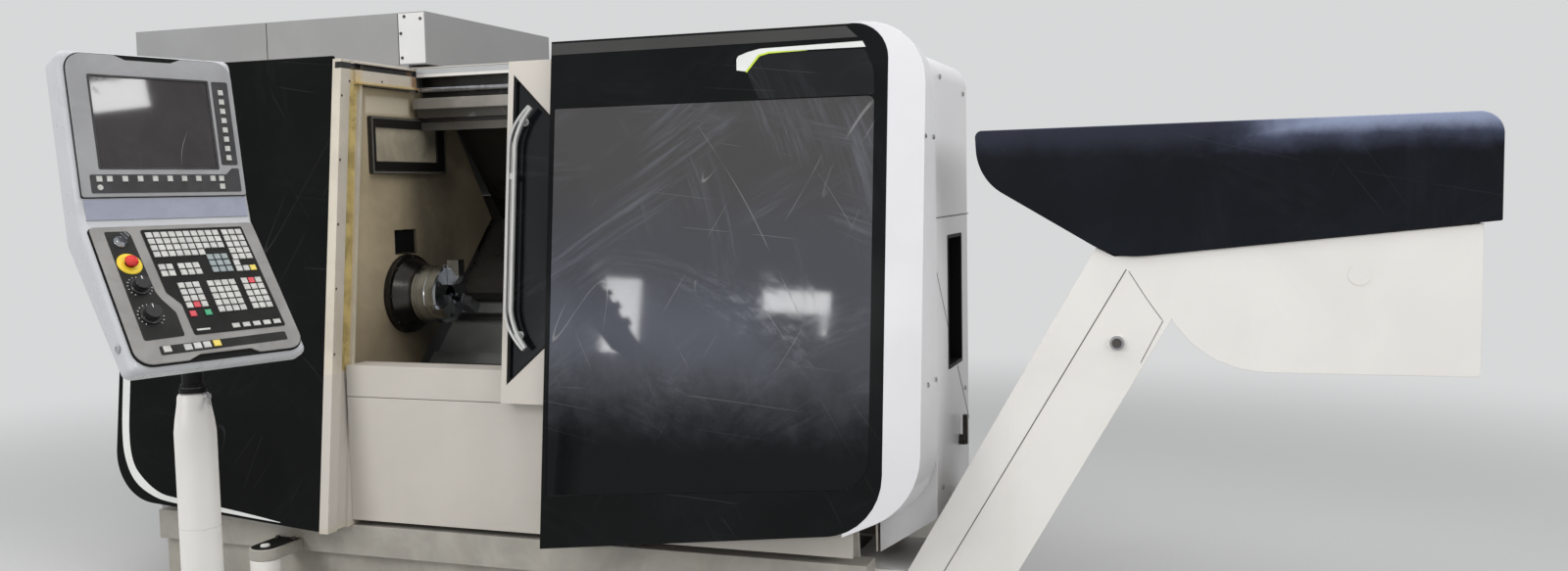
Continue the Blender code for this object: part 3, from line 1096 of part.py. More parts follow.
def make_belt(y0, y1):
    """Hinge belt: one closed loop from the trough's tail, up the incline and round the drum."""
    arc_steps = 8
    inner = (DRUM_RADIUS + RUN) / math.cos(math.pi / arc_steps / 2)
    outer = inner + BELT_THICK
    tail = Vector((TROUGH_X0 + 0.09, TROUGH_Z0 + CONVEYOR_WALL + outer + 0.006))
    ux = math.cos(INCLINE)
    uz = math.sin(INCLINE)
    foot = Vector((TROUGH_X1 + 0.105, tail.y))
    knee_length = (HEAD_SHAFT_Z - 0.060 - foot.y) / uz
    knee = foot + Vector((ux, uz)) * knee_length
    head = Vector((HEAD_SHAFT_X, HEAD_SHAFT_Z))

    def loop(radius):
        points = []
        for k in range(arc_steps + 1):
            a = math.pi / 2 + math.pi * k / arc_steps
            points.append(tail + Vector((math.cos(a), math.sin(a))) * radius)
        first = (foot - tail).normalized()
        second = (knee - foot).normalized()
        third = (head - knee).normalized()
        for a, b, at in ((first, second, foot), (second, third, knee)):
            normal = (Vector((a.y, -a.x)) + Vector((b.y, -b.x)))
            points.append(at + normal.normalized() * radius / normal.normalized().dot(Vector((a.y, -a.x))))
        turn = math.atan2(third.y, third.x)
        for k in range(arc_steps + 1):
            a = turn - math.pi / 2 + math.pi * k / arc_steps
            points.append(head + Vector((math.cos(a), math.sin(a))) * radius)
        for a, b, at in ((third, second, knee), (second, first, foot)):
            normal = (Vector((-a.y, a.x)) + Vector((-b.y, b.x)))
            points.append(at + normal.normalized() * radius / normal.normalized().dot(Vector((-a.y, a.x))))
        return [tuple(p) for p in points]

    width = (y1 - y0) - 2 * (CONVEYOR_WALL + 0.024)
    belt = prism("conveyor_belt", loop(outer), width, front_frame(y1 - CONVEYOR_WALL - 0.024), STEEL)
    return cut(belt, prism("belt_inside", loop(inner), width * 2,
                           front_frame(y1 - CONVEYOR_WALL + width / 2), None))


def make_arm():
    """Base bracket and the welded swing arm: low tube, upright post and its stepped neck."""
    px, py = ARM_PIVOT
    z0 = 0.196
    top = 0.236
    plate = fillet([(px - 0.055, -SEAT, 0), (px - 0.055, py - 0.050, 0.050), (px + 0.055, py - 0.050, 0.050),
                    (px + 0.055, -SEAT, 0)], 5)
    bracket = prism("arm_bracket", plate, top - z0, plan_frame(z0), CREAM)
    arm_top = z0 - RUN
    pin = rod("pivot_hole", (px, py, 0), (px, py, 0.4), 0.0166, None, sides=20)
    cut(bracket, pin)
    post_x, post_y = POST_XY
    arm = rod("control_arm", (px, py, ARM_Z), (post_x, post_y, ARM_Z), ARM_RADIUS, CREAM, sides=24)
    boss_low = ARM_Z - ARM_RADIUS - 0.006
    boss = [(0.0, top + 0.008), (0.016, top + 0.008), (0.016, arm_top), (0.052, arm_top),
            (0.052, boss_low), (0.0, boss_low)]
    join(arm, turned("arm_boss", boss, Matrix.Translation((px, py, 0)), None, steps=24))
    shoulder = POST_TOP_Z - 0.045
    foot = POST_RADIUS + 0.004
    post = [(0.0, POST_TOP_Z + 0.045), (NECK_RADIUS, POST_TOP_Z + 0.045),
            (NECK_RADIUS, POST_TOP_Z + 0.008), (NECK_RADIUS + 0.007, POST_TOP_Z + 0.004),
            (POST_RADIUS, shoulder), (POST_RADIUS, ARM_Z + 0.060), (foot, ARM_Z + 0.056),
            (foot, boss_low), (0.0, boss_low)]
    join(arm, turned("control_post", post, Matrix.Translation((post_x, post_y, 0)), None, steps=28))
    lever_z = POST_TOP_Z + 0.022
    lever = rod("clamp_lever", (post_x + NECK_RADIUS + SEAT, post_y, lever_z),
                (post_x + NECK_RADIUS + 0.022, post_y, lever_z), 0.009, STEEL, sides=14)
    join(lever, rod("lever_arm", (post_x + NECK_RADIUS + 0.014, post_y, lever_z),
                    (post_x + NECK_RADIUS + 0.050, post_y - 0.03, lever_z - 0.020), 0.005, None, sides=10))
    return [bracket, arm, lever]


def panel_frame():
    """Screen plane of the control panel: x to the right, y up, z towards the operator."""
    turn = Matrix.Rotation(PANEL_YAW, 4, "Z") @ Matrix.Rotation(-PANEL_TILT, 4, "X")
    matrix = Matrix.Translation(PANEL_CENTRE) @ turn
    return matrix @ frame((PANEL_MID_X, 0, 0), (1, 0, 0), (0, 0, 1))


def desk_frame():
    """Keyboard plane, hinged forward at the bend: y runs up the desk, z towards the operator."""
    bend = panel_frame() @ Matrix.Translation((0, PANEL_BEND, 0))
    return bend @ Matrix.Rotation(-DESK_TILT, 4, "X")


def key_grid(columns, rows, left, top, skip=()):
    """Cells of a block of keys whose first key's centre is at (left, top)."""
    return [(left + c * KEY_PITCH, top - r * KEY_PITCH, KEY, KEY)
            for r in range(rows) for c in range(columns) if (c, r) not in skip]


def desk_outline(grow, bottom, radius):
    """Outline of the desk's face, which widens towards the operator."""
    half = PANEL_WIDTH / 2 - DESK_RIM + grow
    reach = -bottom / DESK_LENGTH
    return fillet([(-half - DESK_FLARE_LEFT * reach, bottom, radius),
                   (half - DESK_DRAW_RIGHT * reach, bottom, radius),
                   (half, DESK_TOP, 0.012), (-half, DESK_TOP, 0.012)], 4)


def make_housing():
    """Bent housing of the control panel, its desk a little wider at the operator's end."""
    depth = PANEL_DEPTH
    low_y = -DESK_LENGTH * math.cos(DESK_TILT)
    low_z = DESK_LENGTH * math.sin(DESK_TILT)
    side = [(PANEL_TOP, 0), (PANEL_BEND_TOP, 0), (PANEL_BEND, 0.004), (PANEL_BEND + low_y, low_z),
            (PANEL_BEND + low_y - 0.020, low_z - depth * 0.75), (PANEL_BEND - 0.04, -depth),
            (PANEL_TOP - 0.02, -depth)]
    matrix = panel_frame() @ frame((-PANEL_WIDTH / 2, 0, 0), (0, 1, 0), (0, 0, 1))
    housing = prism("panel_housing", side, PANEL_WIDTH, matrix, CREAM)
    for vertex in housing.data.vertices:
        reach = max(0.0, (PANEL_BEND - vertex.co.x) / -low_y)
        on_left = vertex.co.z < PANEL_WIDTH / 2
        vertex.co.z -= reach * (DESK_FLARE_LEFT if on_left else DESK_DRAW_RIGHT)
    round_edges(housing, 0.022, 3, 50)
    stem_foot = POST_TOP_Z + 0.045 + SEAT
    join(housing, rod("panel_stem", (*POST_XY, stem_foot), (*POST_XY, STEM_TOP_Z), NECK_RADIUS - 0.002,
                      None, sides=24))
    return housing


def make_screen(upper):
    """Screen bezel with its two rows of soft keys, and the screen set into it."""
    half = PANEL_WIDTH / 2 - DESK_RIM
    lift = SEAT
    low = PANEL_BEND_TOP + 0.004
    high = PANEL_TOP - 0.013
    bezel = prism("screen_bezel", fillet([(-half, low, 0.006), (half, low, 0.006), (half, high, 0.042),
                                          (-half, high, 0.042)], 5),
                  0.006, upper @ Matrix.Translation((0, 0, lift)), BEZEL)
    sx = -PANEL_MID_X
    sz = SCREEN_H / 2
    cut(bezel, box("screen_hole", (sx - SCREEN_W / 2, sx + SCREEN_W / 2), (-sz, sz), (0.002, 0.05), None,
                   upper))
    cells = [(SIDE_KEYS_X, (3.5 - k) * SIDE_KEYS_PITCH, SOFT_KEY, SOFT_KEY) for k in range(8)]
    cells += [(x, ROW_KEYS_Y, SOFT_KEY, SOFT_KEY) for x in ROW_KEYS_X]
    cells += [(ROW_KEYS_X[-1], ROW_KEYS_Y - SOFT_KEY * 1.5, SOFT_KEY, SOFT_KEY)]
    join(bezel, blocks("soft_keys", cells, 0.003, upper @ Matrix.Translation((0, 0, lift + 0.006))))
    edge = 0.0005
    screen = box("screen", (sx - SCREEN_W / 2 + edge, sx + SCREEN_W / 2 - edge), (-sz + edge, sz - edge),
                 (0.002 + SEAT, 0.0050), GLASS, upper)
    return [bezel, screen]


def make_panel():
    """Control panel: bent housing, bezels with keys, screen, and the switches of the desk."""
    upper = panel_frame()
    desk = desk_frame()
    shell_lift = 0.004 + SEAT
    plate = prism("desk_bezel", desk_outline(0.0, DESK_TOP - 0.392, 0.040), 0.005,
                  desk @ Matrix.Translation((0, 0, shell_lift)), BEZEL)
    face = desk @ Matrix.Translation((0, 0, shell_lift + 0.005))
    left, right, top, bottom = KEY_FIELD
    field = fillet([(left + 0.026, bottom, 0.005), (right, bottom, 0.005), (right, top, 0.005),
                    (left, top, 0.005), (left, -0.209, 0.010), (left + 0.026, -0.246, 0.010)], 3)
    pad = prism("keypad", field, 0.002, face @ Matrix.Translation((0, 0, SEAT)), BEZEL)
    pad_face = face @ Matrix.Translation((0, 0, SEAT + 0.002))
    cells = []
    for columns, rows, x, y in KEY_BLOCKS:
        cells += key_grid(columns, rows, x, y)
    cells += [(0.044 + k * 0.028, -0.323, KEY, KEY * 0.8) for k in range(5)]
    join(pad, blocks("key_block", cells, 0.0025, pad_face))
    join(plate, blocks("command_keys", [(x, -0.370, 0.018, 0.018) for x in COMMAND_KEYS_X], 0.004, face))
    made = [make_housing(), *make_screen(upper), plate, pad]
    for name, x, material in (("cycle_stop_key", STOP_KEY_X, RED), ("cycle_start_key", START_KEY_X, GREEN)):
        sides = (x - KEY / 2, x + KEY / 2)
        rows = (CYCLE_ROW_Y - KEY / 2, CYCLE_ROW_Y + KEY / 2)
        cut(pad, box("key_pocket", (sides[0] - SEAT, sides[1] + SEAT), (rows[0] - SEAT, rows[1] + SEAT),
                     (-0.01, 0.01), None, pad_face))
        made.append(box(name, sides, rows, (-SEAT, 0.0045), material, pad_face))
    ring = (face @ Vector((*STOP_XY, -0.001)), face @ Vector((*STOP_XY, 0.0035)))
    join(plate, rod("stop_ring", *ring, 0.030, None, sides=28))
    bore = (face @ Vector((*STOP_XY, -0.0042)), face @ Vector((*STOP_XY, 0.01)))
    cut(plate, rod("stop_bore", *bore, STOP_STEM + RUN, None, sides=28))
    return made + make_switches(face)


def make_switches(face):
    """Left column of the desk: key switch, emergency stop and the two override knobs."""
    made = [turned("key_switch", [(0.0, 0.020), (0.012, 0.020), (0.013, 0.018), (0.013, 0.006),
                                  (0.016, 0.004), (0.016, 0.0), (0.0, 0.0)],
                   face @ Matrix.Translation((*KEY_SWITCH_XY, SEAT)), STEEL, steps=20),
            turned("emergency_stop", [(0.0, 0.029), (0.012, 0.028), (0.018, 0.024), (0.0195, 0.019),
                                      (0.017, 0.014), (STOP_STEM, 0.012), (STOP_STEM, 0.001),
                                      (0.0, 0.001)],
                   face @ Matrix.Translation((*STOP_XY, SEAT)), RED, steps=24)]
    for name, place_xy, radius in (("spindle_override", SPINDLE_KNOB_XY, 0.024),
                                   ("feed_override", FEED_KNOB_XY, 0.026)):
        made.append(turned(name, [(0.0, 0.024), (radius * 0.72, 0.024), (radius * 0.78, 0.022),
                                  (radius * 0.82, 0.006), (radius, 0.004), (radius, 0.0), (0.0, 0.0)],
                           face @ Matrix.Translation((*place_xy, SEAT)), BLACK, steps=24))
    return made


def world_box(things):
    """Lowest and highest corner of the evaluated pieces."""
    bpy.context.view_layer.update()
    graph = bpy.context.evaluated_depsgraph_get()
    low = Vector((1e9, 1e9, 1e9))
    high = -low
    for thing in things:
        ready = thing.evaluated_get(graph)
        mesh = ready.to_mesh()
        for vertex in mesh.vertices:
            point = thing.matrix_world @ vertex.co
            low = Vector(map(min, low, point))
            high = Vector(map(max, high, point))
        ready.to_mesh_clear()
    return low, high


def build():
    """Make every sub-assembly, hang the moving ones on their axes and centre the footprint."""
    root = empty("lathe_origin", Matrix())
    spindle_axis = empty("spindle_axis", AXIS_X, root)
    fixed = make_base() + make_bed() + make_headstock() + make_headstock_wall()
    fixed += make_front() + make_top_beam() + make_fronts() + make_sheets()
    spindle = make_spindle() + make_chuck()
    turret = make_turret()
    covers = make_way_covers()
    tail = make_tailstock()
    end = make_right_end()
    door = make_door()
    cabinet = make_cabinet()
    conveyor = make_conveyor()
    arm = make_arm()
    panel = make_panel()
    bpy.context.view_layer.update()
    z_axis = empty("z_axis", Matrix.Translation((SADDLE_X0, BED_FOOT_Y, BED_FOOT_Z)), root)
    turret_axis = empty("turret_axis", Matrix.Translation(slant_point(TURRET_S, SPINDLE_N, SADDLE_X0)), root)
    door_axis = empty("door_slide", Matrix.Translation((DOOR_X0, 0, SILL_Z)), root)
    tail_axis = empty("tailstock_axis", Matrix.Translation((TAILSTOCK_X0, SPINDLE_Y, SPINDLE_Z)), root)
    shaft_axis = empty("conveyor_axis", Matrix.Translation((HEAD_SHAFT_X, 0, HEAD_SHAFT_Z)), root)
    arm_axis = empty("arm_axis", Matrix.Translation((*ARM_PIVOT, ARM_Z)), root)
    panel_axis = empty("panel_axis", Matrix.Translation((*POST_XY, POST_TOP_Z)), arm_axis)
    cabinet_axis = empty("cabinet_hinge", Matrix.Translation((CABINET_X0, CABINET_Y1 - 0.018, 1.0)), root)
    bpy.context.view_layer.update()
    hang(spindle_axis, *spindle)
    hang(z_axis, turret[0], covers[2])
    hang(turret_axis, turret[1], turret[2])
    hang(door_axis, *door)
    hang(tail_axis, *tail)
    hang(shaft_axis, conveyor[3])
    hang(arm_axis, arm[1], arm[2])
    hang(panel_axis, *panel)
    hang(cabinet_axis, cabinet[1], cabinet[2])
    hang(root, *fixed, *covers[:2], *end, cabinet[0], *conveyor[:3], *conveyor[4:], arm[0])
    everything = (fixed + spindle + turret + covers + tail + end + door + cabinet + conveyor + arm + panel)
    low, high = world_box(everything)
    root.location = (-(low.x + high.x) / 2, -(low.y + high.y) / 2, 0)
    bpy.context.view_layer.update()


build()
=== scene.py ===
"""Dressed model of a CNC turning lathe with its chip conveyor and its swing-arm control panel.

Pieces are laid out in bench coordinates, in metres: x = 0 is the left edge of the door opening, y = 0 is
the lower front plate, z = 0 is the floor.
"""
import logging
import math
from dataclasses import dataclass, field
from enum import Enum
from functools import cache
from typing import Callable, Iterable, Optional, Sequence

import bmesh
import bpy
from mathutils import Matrix, Vector


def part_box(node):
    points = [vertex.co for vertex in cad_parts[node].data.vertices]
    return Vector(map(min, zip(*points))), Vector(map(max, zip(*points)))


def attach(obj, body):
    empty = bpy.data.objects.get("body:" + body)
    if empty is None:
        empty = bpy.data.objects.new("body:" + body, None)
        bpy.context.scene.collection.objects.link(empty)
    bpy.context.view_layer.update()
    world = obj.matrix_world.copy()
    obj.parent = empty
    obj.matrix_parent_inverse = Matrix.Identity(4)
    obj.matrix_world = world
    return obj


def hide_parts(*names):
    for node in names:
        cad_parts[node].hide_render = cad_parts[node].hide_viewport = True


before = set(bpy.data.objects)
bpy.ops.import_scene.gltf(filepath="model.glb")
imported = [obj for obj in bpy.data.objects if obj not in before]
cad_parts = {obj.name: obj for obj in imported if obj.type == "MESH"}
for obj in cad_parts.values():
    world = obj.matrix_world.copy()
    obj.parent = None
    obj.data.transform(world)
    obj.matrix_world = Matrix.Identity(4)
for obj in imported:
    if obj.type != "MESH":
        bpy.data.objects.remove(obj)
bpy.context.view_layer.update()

LOG = logging.getLogger("turning_lathe")

Rgb = tuple[float, float, float]
Flat = tuple[float, float]
Point = tuple[float, float, float]
Socket = bpy.types.NodeSocket
Thing = bpy.types.Object

# Clearance under an inlay that lies on a face
LAID = 0.0003
# How far an inlay of foil or paint stands off its face
FOIL = 0.0005
# Where the lower front plate's lowest corner lies on the bench
PLATE_CORNER = (0.0003, 0.0, 0.318)
# Where the post of the swing arm stands
POST = (0.385, -1.098)
# Edges sharper than this stay sharp in the shading
SMOOTH_ANGLE = math.radians(34)


class Body(str, Enum):
    """Moving bodies of the machine."""

    MACHINE = "machine"
    SPINDLE = "spindle_unit"
    JAW_1 = "jaw_1"
    JAW_2 = "jaw_2"
    JAW_3 = "jaw_3"
    SADDLE = "saddle"
    COVER = "middle_cover"
    SLIDE = "cross_slide"
    DISC = "tool_disc"
    TAILSTOCK = "tailstock_unit"
    QUILL = "quill"
    DOOR = "door"
    DRUM = "drive_drum"
    ARM = "swing_arm"
    CLAMP = "arm_clamp"
    PANEL = "control_panel"
    START = "start_key"
    STOP = "stop_key"
    LOCK = "lock_key"
    ESTOP = "estop"
    SPEED = "spindle_knob"
    FEED = "feed_knob"
    CABINET_LEAF = "cabinet_leaf"
    ISOLATOR = "isolator"
    CATCH = "side_catch"


class Effect(str, Enum):
    """Surface effects that several finishes share."""

    GRAIN = "surface_grain"
    BLOTCHES = "soft_blotches"
    EDGES = "edge_wear"
    STREAKS = "run_streaks"
    SWIRLS = "wiped_swirls"
    HAIRLINES = "hairline_scratches"
    LAY = "machined_lay"
    DUST = "settled_dust"
    ZONE = "soft_zone"


class Head(Enum):
    """Kinds of screw head."""

    PAN = "pan"
    SOCKET = "socket"


def bench_matrix() -> Matrix:
    """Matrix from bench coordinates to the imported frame."""
    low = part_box("lower_front_plate")[0]
    return Matrix.Translation(low - Vector(PLATE_CORNER))


BENCH = bench_matrix()


def frame_at(origin: Sequence[float], along_x: Sequence[float], along_y: Sequence[float]) -> Matrix:
    """Matrix whose local X and Y run along two given directions.

    Args:
        origin: Place of the frame's origin.
        along_x: Direction of local X.
        along_y: Direction of local Y.

    Returns:
        The frame's matrix.
    """
    x = Vector(along_x).normalized()
    y = Vector(along_y).normalized()
    matrix = Matrix((x, y, x.cross(y))).transposed().to_4x4()
    matrix.translation = Vector(origin)
    return matrix


def side_frame(x: float) -> Matrix:
    """Frame for an outline in (y, z) with its thickness towards +x."""
    return frame_at((x, 0, 0), (0, 1, 0), (0, 0, 1))


def front_frame(y: float) -> Matrix:
    """Frame for an outline in (x, z) with its thickness towards the front."""
    return frame_at((0, y, 0), (1, 0, 0), (0, 0, 1))


def shift(x: float, y: float, z: float = 0.0) -> Matrix:
    """Translation matrix."""
    return Matrix.Translation((x, y, z))


def lift(z: float) -> Matrix:
    """Translation matrix along Z."""
    return Matrix.Translation((0, 0, z))


@dataclass(frozen=True)
class LeaningFront:
    """Plane of the leaning black fronts."""

    lean: float = math.radians(6.4)
    stand_off: float = 0.07
    sill_z: float = 0.866

    def frame(self, out: float = 0.0) -> Matrix:
        """Frame for an outline in (x, height along the plane), thickness to the front.

        Args:
            out: How far the frame stands off the plane.

        Returns:
            The frame's matrix.
        """
        along = Vector((0, math.sin(self.lean), math.cos(self.lean)))
        normal = Vector((0, -math.cos(self.lean), math.sin(self.lean)))
        return frame_at(Vector((0, -self.stand_off, self.sill_z)) + normal * out, (1, 0, 0), along)

    def up(self, z: float) -> float:
        """Height along the plane for a height above the floor."""
        return (z - self.sill_z) / math.cos(self.lean)

    def y(self, z: float, depth: float = 0.0) -> float:
        """Where the plane, set back by a depth, meets a height above the floor."""
        return -self.stand_off + math.tan(self.lean) * (z - self.sill_z) + depth / math.cos(self.lean)


FRONT = LeaningFront()


def on_front(points: Iterable[Flat]) -> list[Flat]:
    """Outline on the leaning plane for points given as (x, height above the floor)."""
    return [(x, FRONT.up(z)) for x, z in points]


def fillet(points: Iterable[Sequence[float]], steps: int = 10) -> list[Flat]:
    """Closed outline whose corners (u, v, radius) are rounded with arcs.

    Args:
        points: Corners; a corner without a radius stays sharp.
        steps: Arc steps of each rounded corner.

    Returns:
        The rounded outline.
    """
    corners = [(*p, 0.0)[:3] for p in points]
    out: list[Flat] = []
    for i, (u, v, radius) in enumerate(corners):
        if radius <= 0:
            out.append((u, v))
            continue
        corner = Vector((u, v))
        back = (Vector(corners[i - 1][:2]) - corner).normalized()
        ahead = (Vector(corners[(i + 1) % len(corners)][:2]) - corner).normalized()
        half = back.angle(ahead) / 2
        centre = corner + (back + ahead).normalized() * (radius / math.sin(half))
        start = corner + back * (radius / math.tan(half)) - centre
        end = corner + ahead * (radius / math.tan(half)) - centre
        first = math.atan2(start.y, start.x)
        sweep = math.remainder(math.atan2(end.y, end.x) - first, math.tau)
        for k in range(steps + 1):
            angle = first + sweep * k / steps
            out.append((centre.x + radius * math.cos(angle), centre.y + radius * math.sin(angle)))
    return out


def rect(u0: float, u1: float, v0: float, v1: float, radius: float = 0.0) -> list[Flat]:
    """Outline of a rectangle with rounded corners."""
    corners = [(u0, v0, radius), (u1, v0, radius), (u1, v1, radius), (u0, v1, radius)]
    return fillet(corners, 5)


def grown(across: Flat, up: Flat, by: float, radius: float) -> list[Flat]:
    """Outline of a rectangle, given by its two spans, that is made larger on every side."""
    return rect(across[0] - by, across[1] + by, up[0] - by, up[1] + by, radius)


def round_outline(radius: float, steps: int = 40, u: float = 0.0, v: float = 0.0) -> list[Flat]:
    """Outline of a circle."""
    turns = [math.tau * k / steps for k in range(steps)]
    return [(u + radius * math.cos(a), v + radius * math.sin(a)) for a in turns]


def ribbon(path: Sequence[Flat], width: float) -> list[Flat]:
    """Outline of a strip of even width along a path.

    Args:
        path: Middle line of the strip.
        width: Width of the strip.

    Returns:
        The strip's closed outline.
    """
    points = [Vector(p) for p in path]
    left, right = [], []
    for i, point in enumerate(points):
        behind = (point - points[i - 1]).normalized() if i else (points[1] - point).normalized()
        ahead = (points[i + 1] - point).normalized() if i + 1 < len(points) else behind
        a = Vector((-behind.y, behind.x))
        mid = (a + Vector((-ahead.y, ahead.x))).normalized()
        reach = mid * (width / 2 / max(mid.dot(a), 0.3))
        left.append(tuple(point + reach))
        right.append(tuple(point - reach))
    return left + right[::-1]


def smooth(points: Sequence[Flat], steps: int = 8) -> list[Flat]:
    """Even curve through points.

    Args:
        points: Points that the curve goes through.
        steps: Steps between two of them.

    Returns:
        The curve's points.
    """
    knots = [Vector(p) for p in points]
    out: list[Flat] = []
    for i in range(len(knots) - 1):
        a, b, c, d = knots[max(i - 1, 0)], knots[i], knots[i + 1], knots[min(i + 2, len(knots) - 1)]
        for k in range(steps):
            t = k / steps
            spot = 0.5 * (2 * b + (c - a) * t + (2 * a - 5 * b + 4 * c - d) * t * t
                          + (3 * b - a - 3 * c + d) * t ** 3)
            out.append((spot.x, spot.y))
    return out + [tuple(knots[-1])]


def join_rings(part: bmesh.types.BMesh, rings: Sequence[Sequence[bmesh.types.BMVert]]) -> None:
    """Join neighbouring rings of corners with faces; corners that meet on an axis count once.

    Args:
        part: Mesh that takes the faces.
        rings: Rings with the same number of corners.
    """
    for low, high in zip(rings, rings[1:]):
        for k, corner in enumerate(low):
            after = (k + 1) % len(low)
            part.faces.new(list(dict.fromkeys((corner, low[after], high[after], high[k]))))


class Piece:
    """One named mesh under construction in bench coordinates."""

    def __init__(self, name: str) -> None:
        """Start an empty piece."""
        self.name = name
        self.bm = bmesh.new()

    def absorb(self, part: bmesh.types.BMesh, matrix: Matrix = Matrix(), bevel: float = 0.0,
               segments: int = 2, angle: float = 28.0) -> "Piece":
        """Round a part's sharp edges, place it and add it to the piece.

        Args:
            part: Mesh of the part, freed afterwards.
            matrix: Place of the part on the bench.
            bevel: Width of the rounding.
            segments: Steps of the rounding.
            angle: Edges sharper than this many degrees are rounded.

        Returns:
            The piece itself.
        """
        bmesh.ops.recalc_face_normals(part, faces=part.faces)
        if bevel > 0:
            limit = math.radians(angle)
            edges = [e for e in part.edges if len(e.link_faces) == 2 and e.calc_face_angle() > limit]
            bmesh.ops.bevel(part, geom=edges, offset=bevel, segments=segments, profile=0.5,
                            affect="EDGES", clamp_overlap=True)
        bmesh.ops.transform(part, matrix=matrix, verts=part.verts)
        bmesh.ops.recalc_face_normals(part, faces=part.faces)
        scrap = bpy.data.meshes.new("scrap")
        part.to_mesh(scrap)
        part.free()
        self.bm.from_mesh(scrap)
        bpy.data.meshes.remove(scrap)
        return self

    def prism(self, outline: Sequence[Flat], depth: float, matrix: Matrix = Matrix(),
              bevel: float = 0.0, segments: int = 2, holes: Sequence[Sequence[Flat]] = (),
              angle: float = 28.0) -> "Piece":
        """Add a flat outline with holes, given thickness along the frame's Z.

        Args:
            outline: Outer outline.
            depth: Thickness.
            matrix: Frame of the outline.
            bevel: Width of the rounding of its edges.
            segments: Steps of the rounding.
            holes: Outlines of the holes.
            angle: Edges sharper than this many degrees are rounded.

        Returns:
            The piece itself.
        """
        part = bmesh.new()
        if holes:
            edges = []
            for loop in (outline, *holes):
                verts = [part.verts.new((u, v, 0.0)) for u, v in loop]
                edges += [part.edges.new((verts[i - 1], verts[i])) for i in range(len(verts))]
            bmesh.ops.triangle_fill(part, use_beauty=True, use_dissolve=False, edges=edges)
        else:
            part.faces.new([part.verts.new((u, v, 0.0)) for u, v in outline])
        made = bmesh.ops.extrude_face_region(part, geom=list(part.faces))
        moved = [item for item in made["geom"] if isinstance(item, bmesh.types.BMVert)]
        bmesh.ops.translate(part, verts=moved, vec=(0, 0, depth))
        return self.absorb(part, matrix, bevel, segments, angle)

    def block(self, x: Flat, y: Flat, z: Flat, bevel: float) -> "Piece":
        """Add a block between two corners, with rounded edges."""
        return self.prism(rect(*x, *y), z[1] - z[0], lift(z[0]), bevel)

    def turned(self, profile: Sequence[Flat], matrix: Matrix = Matrix(), steps: int = 48) -> "Piece":
        """Add a turned shape: profile (radius, height) about the frame's Z.

        Args:
            profile: Points of the outer side; an end on the axis closes to a point.
            matrix: Frame whose Z is the axis.
            steps: Facets round the axis.

        Returns:
            The piece itself.
        """
        part = bmesh.new()
        rows = []
        for radius, height in profile:
            if radius <= 0:
                rows.append([part.verts.new((0, 0, height))] * steps)
            else:
                rows.append([part.verts.new((*spot, height)) for spot in round_outline(radius, steps)])
        join_rings(part, rows)
        return self.absorb(part, matrix)

    def tube(self, path: Sequence[Sequence[float]], radius: float, sides: int = 16) -> "Piece":
        """Add a round bar that follows a path.

        Args:
            path: Points of the bar's middle line.
            radius: Radius of the bar.
            sides: Facets round it.

        Returns:
            The piece itself.
        """
        points = [Vector(p) for p in path]
        part = bmesh.new()
        rings = []
        side = Vector((0, 0, 1))
        for i, point in enumerate(points):
            along = (points[min(i + 1, len(points) - 1)] - points[max(i - 1, 0)]).normalized()
            if abs(along.dot(side)) > 0.98:
                side = along.orthogonal()
            side = (side - along * side.dot(along)).normalized()
            other = along.cross(side)
            rings.append([part.verts.new(point + side * u + other * v)
                          for u, v in round_outline(radius, sides)])
        join_rings(part, rings)
        part.faces.new(rings[0][::-1])
        part.faces.new(rings[-1])
        return self.absorb(part)

    def screw(self, matrix: Matrix, radius: float, height: float, head: Head = Head.PAN) -> "Piece":
        """Add a screw head that stands on the frame's XY plane.

        Args:
            matrix: Frame on the face that the head bears on.
            radius: Radius of the head.
            height: Height of the head.
            head: Kind of head.

        Returns:
            The piece itself.
        """
        if head is Head.PAN:
            profile = [(0, height * 0.72), (radius * 0.28, height * 0.74), (radius * 0.34, height),
                       (radius * 0.62, height * 0.92), (radius * 0.9, height * 0.55), (radius, 0),
                       (0, 0)]
        else:
            edge = radius * 0.12
            profile = [(0, height * 0.45), (radius * 0.52, height * 0.45), (radius * 0.52, height),
                       (radius - edge, height), (radius, height - edge), (radius, 0), (0, 0)]
        return self.turned(profile, matrix, 18)

    def finish(self, body: Body, slot: str, paint: "Paint", replaced: Sequence[str]) -> Thing:
        """Turn the piece into an object that rides on a body.

        Args:
            body: Body that carries the piece.
            slot: Material slot of the record that the piece belongs to; not used.
            paint: Finish of the piece.
            replaced: CAD nodes that the piece stands for.

        Returns:
            The finished object.
        """
        mesh = bpy.data.meshes.new(self.name)
        bmesh.ops.transform(self.bm, matrix=BENCH, verts=self.bm.verts)
        self.bm.to_mesh(mesh)
        self.bm.free()
        mesh.shade_smooth()
        mesh.set_sharp_from_angle(angle=SMOOTH_ANGLE)
        mesh.materials.append(paint.value.build())
        thing = bpy.data.objects.new(self.name, mesh)
        even = thing.modifiers.new("even_normals", "WEIGHTED_NORMAL")
        even.keep_sharp = True
        bpy.context.scene.collection.objects.link(thing)
        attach(thing, body.value)
        if replaced:
            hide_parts(*replaced)
        return thing


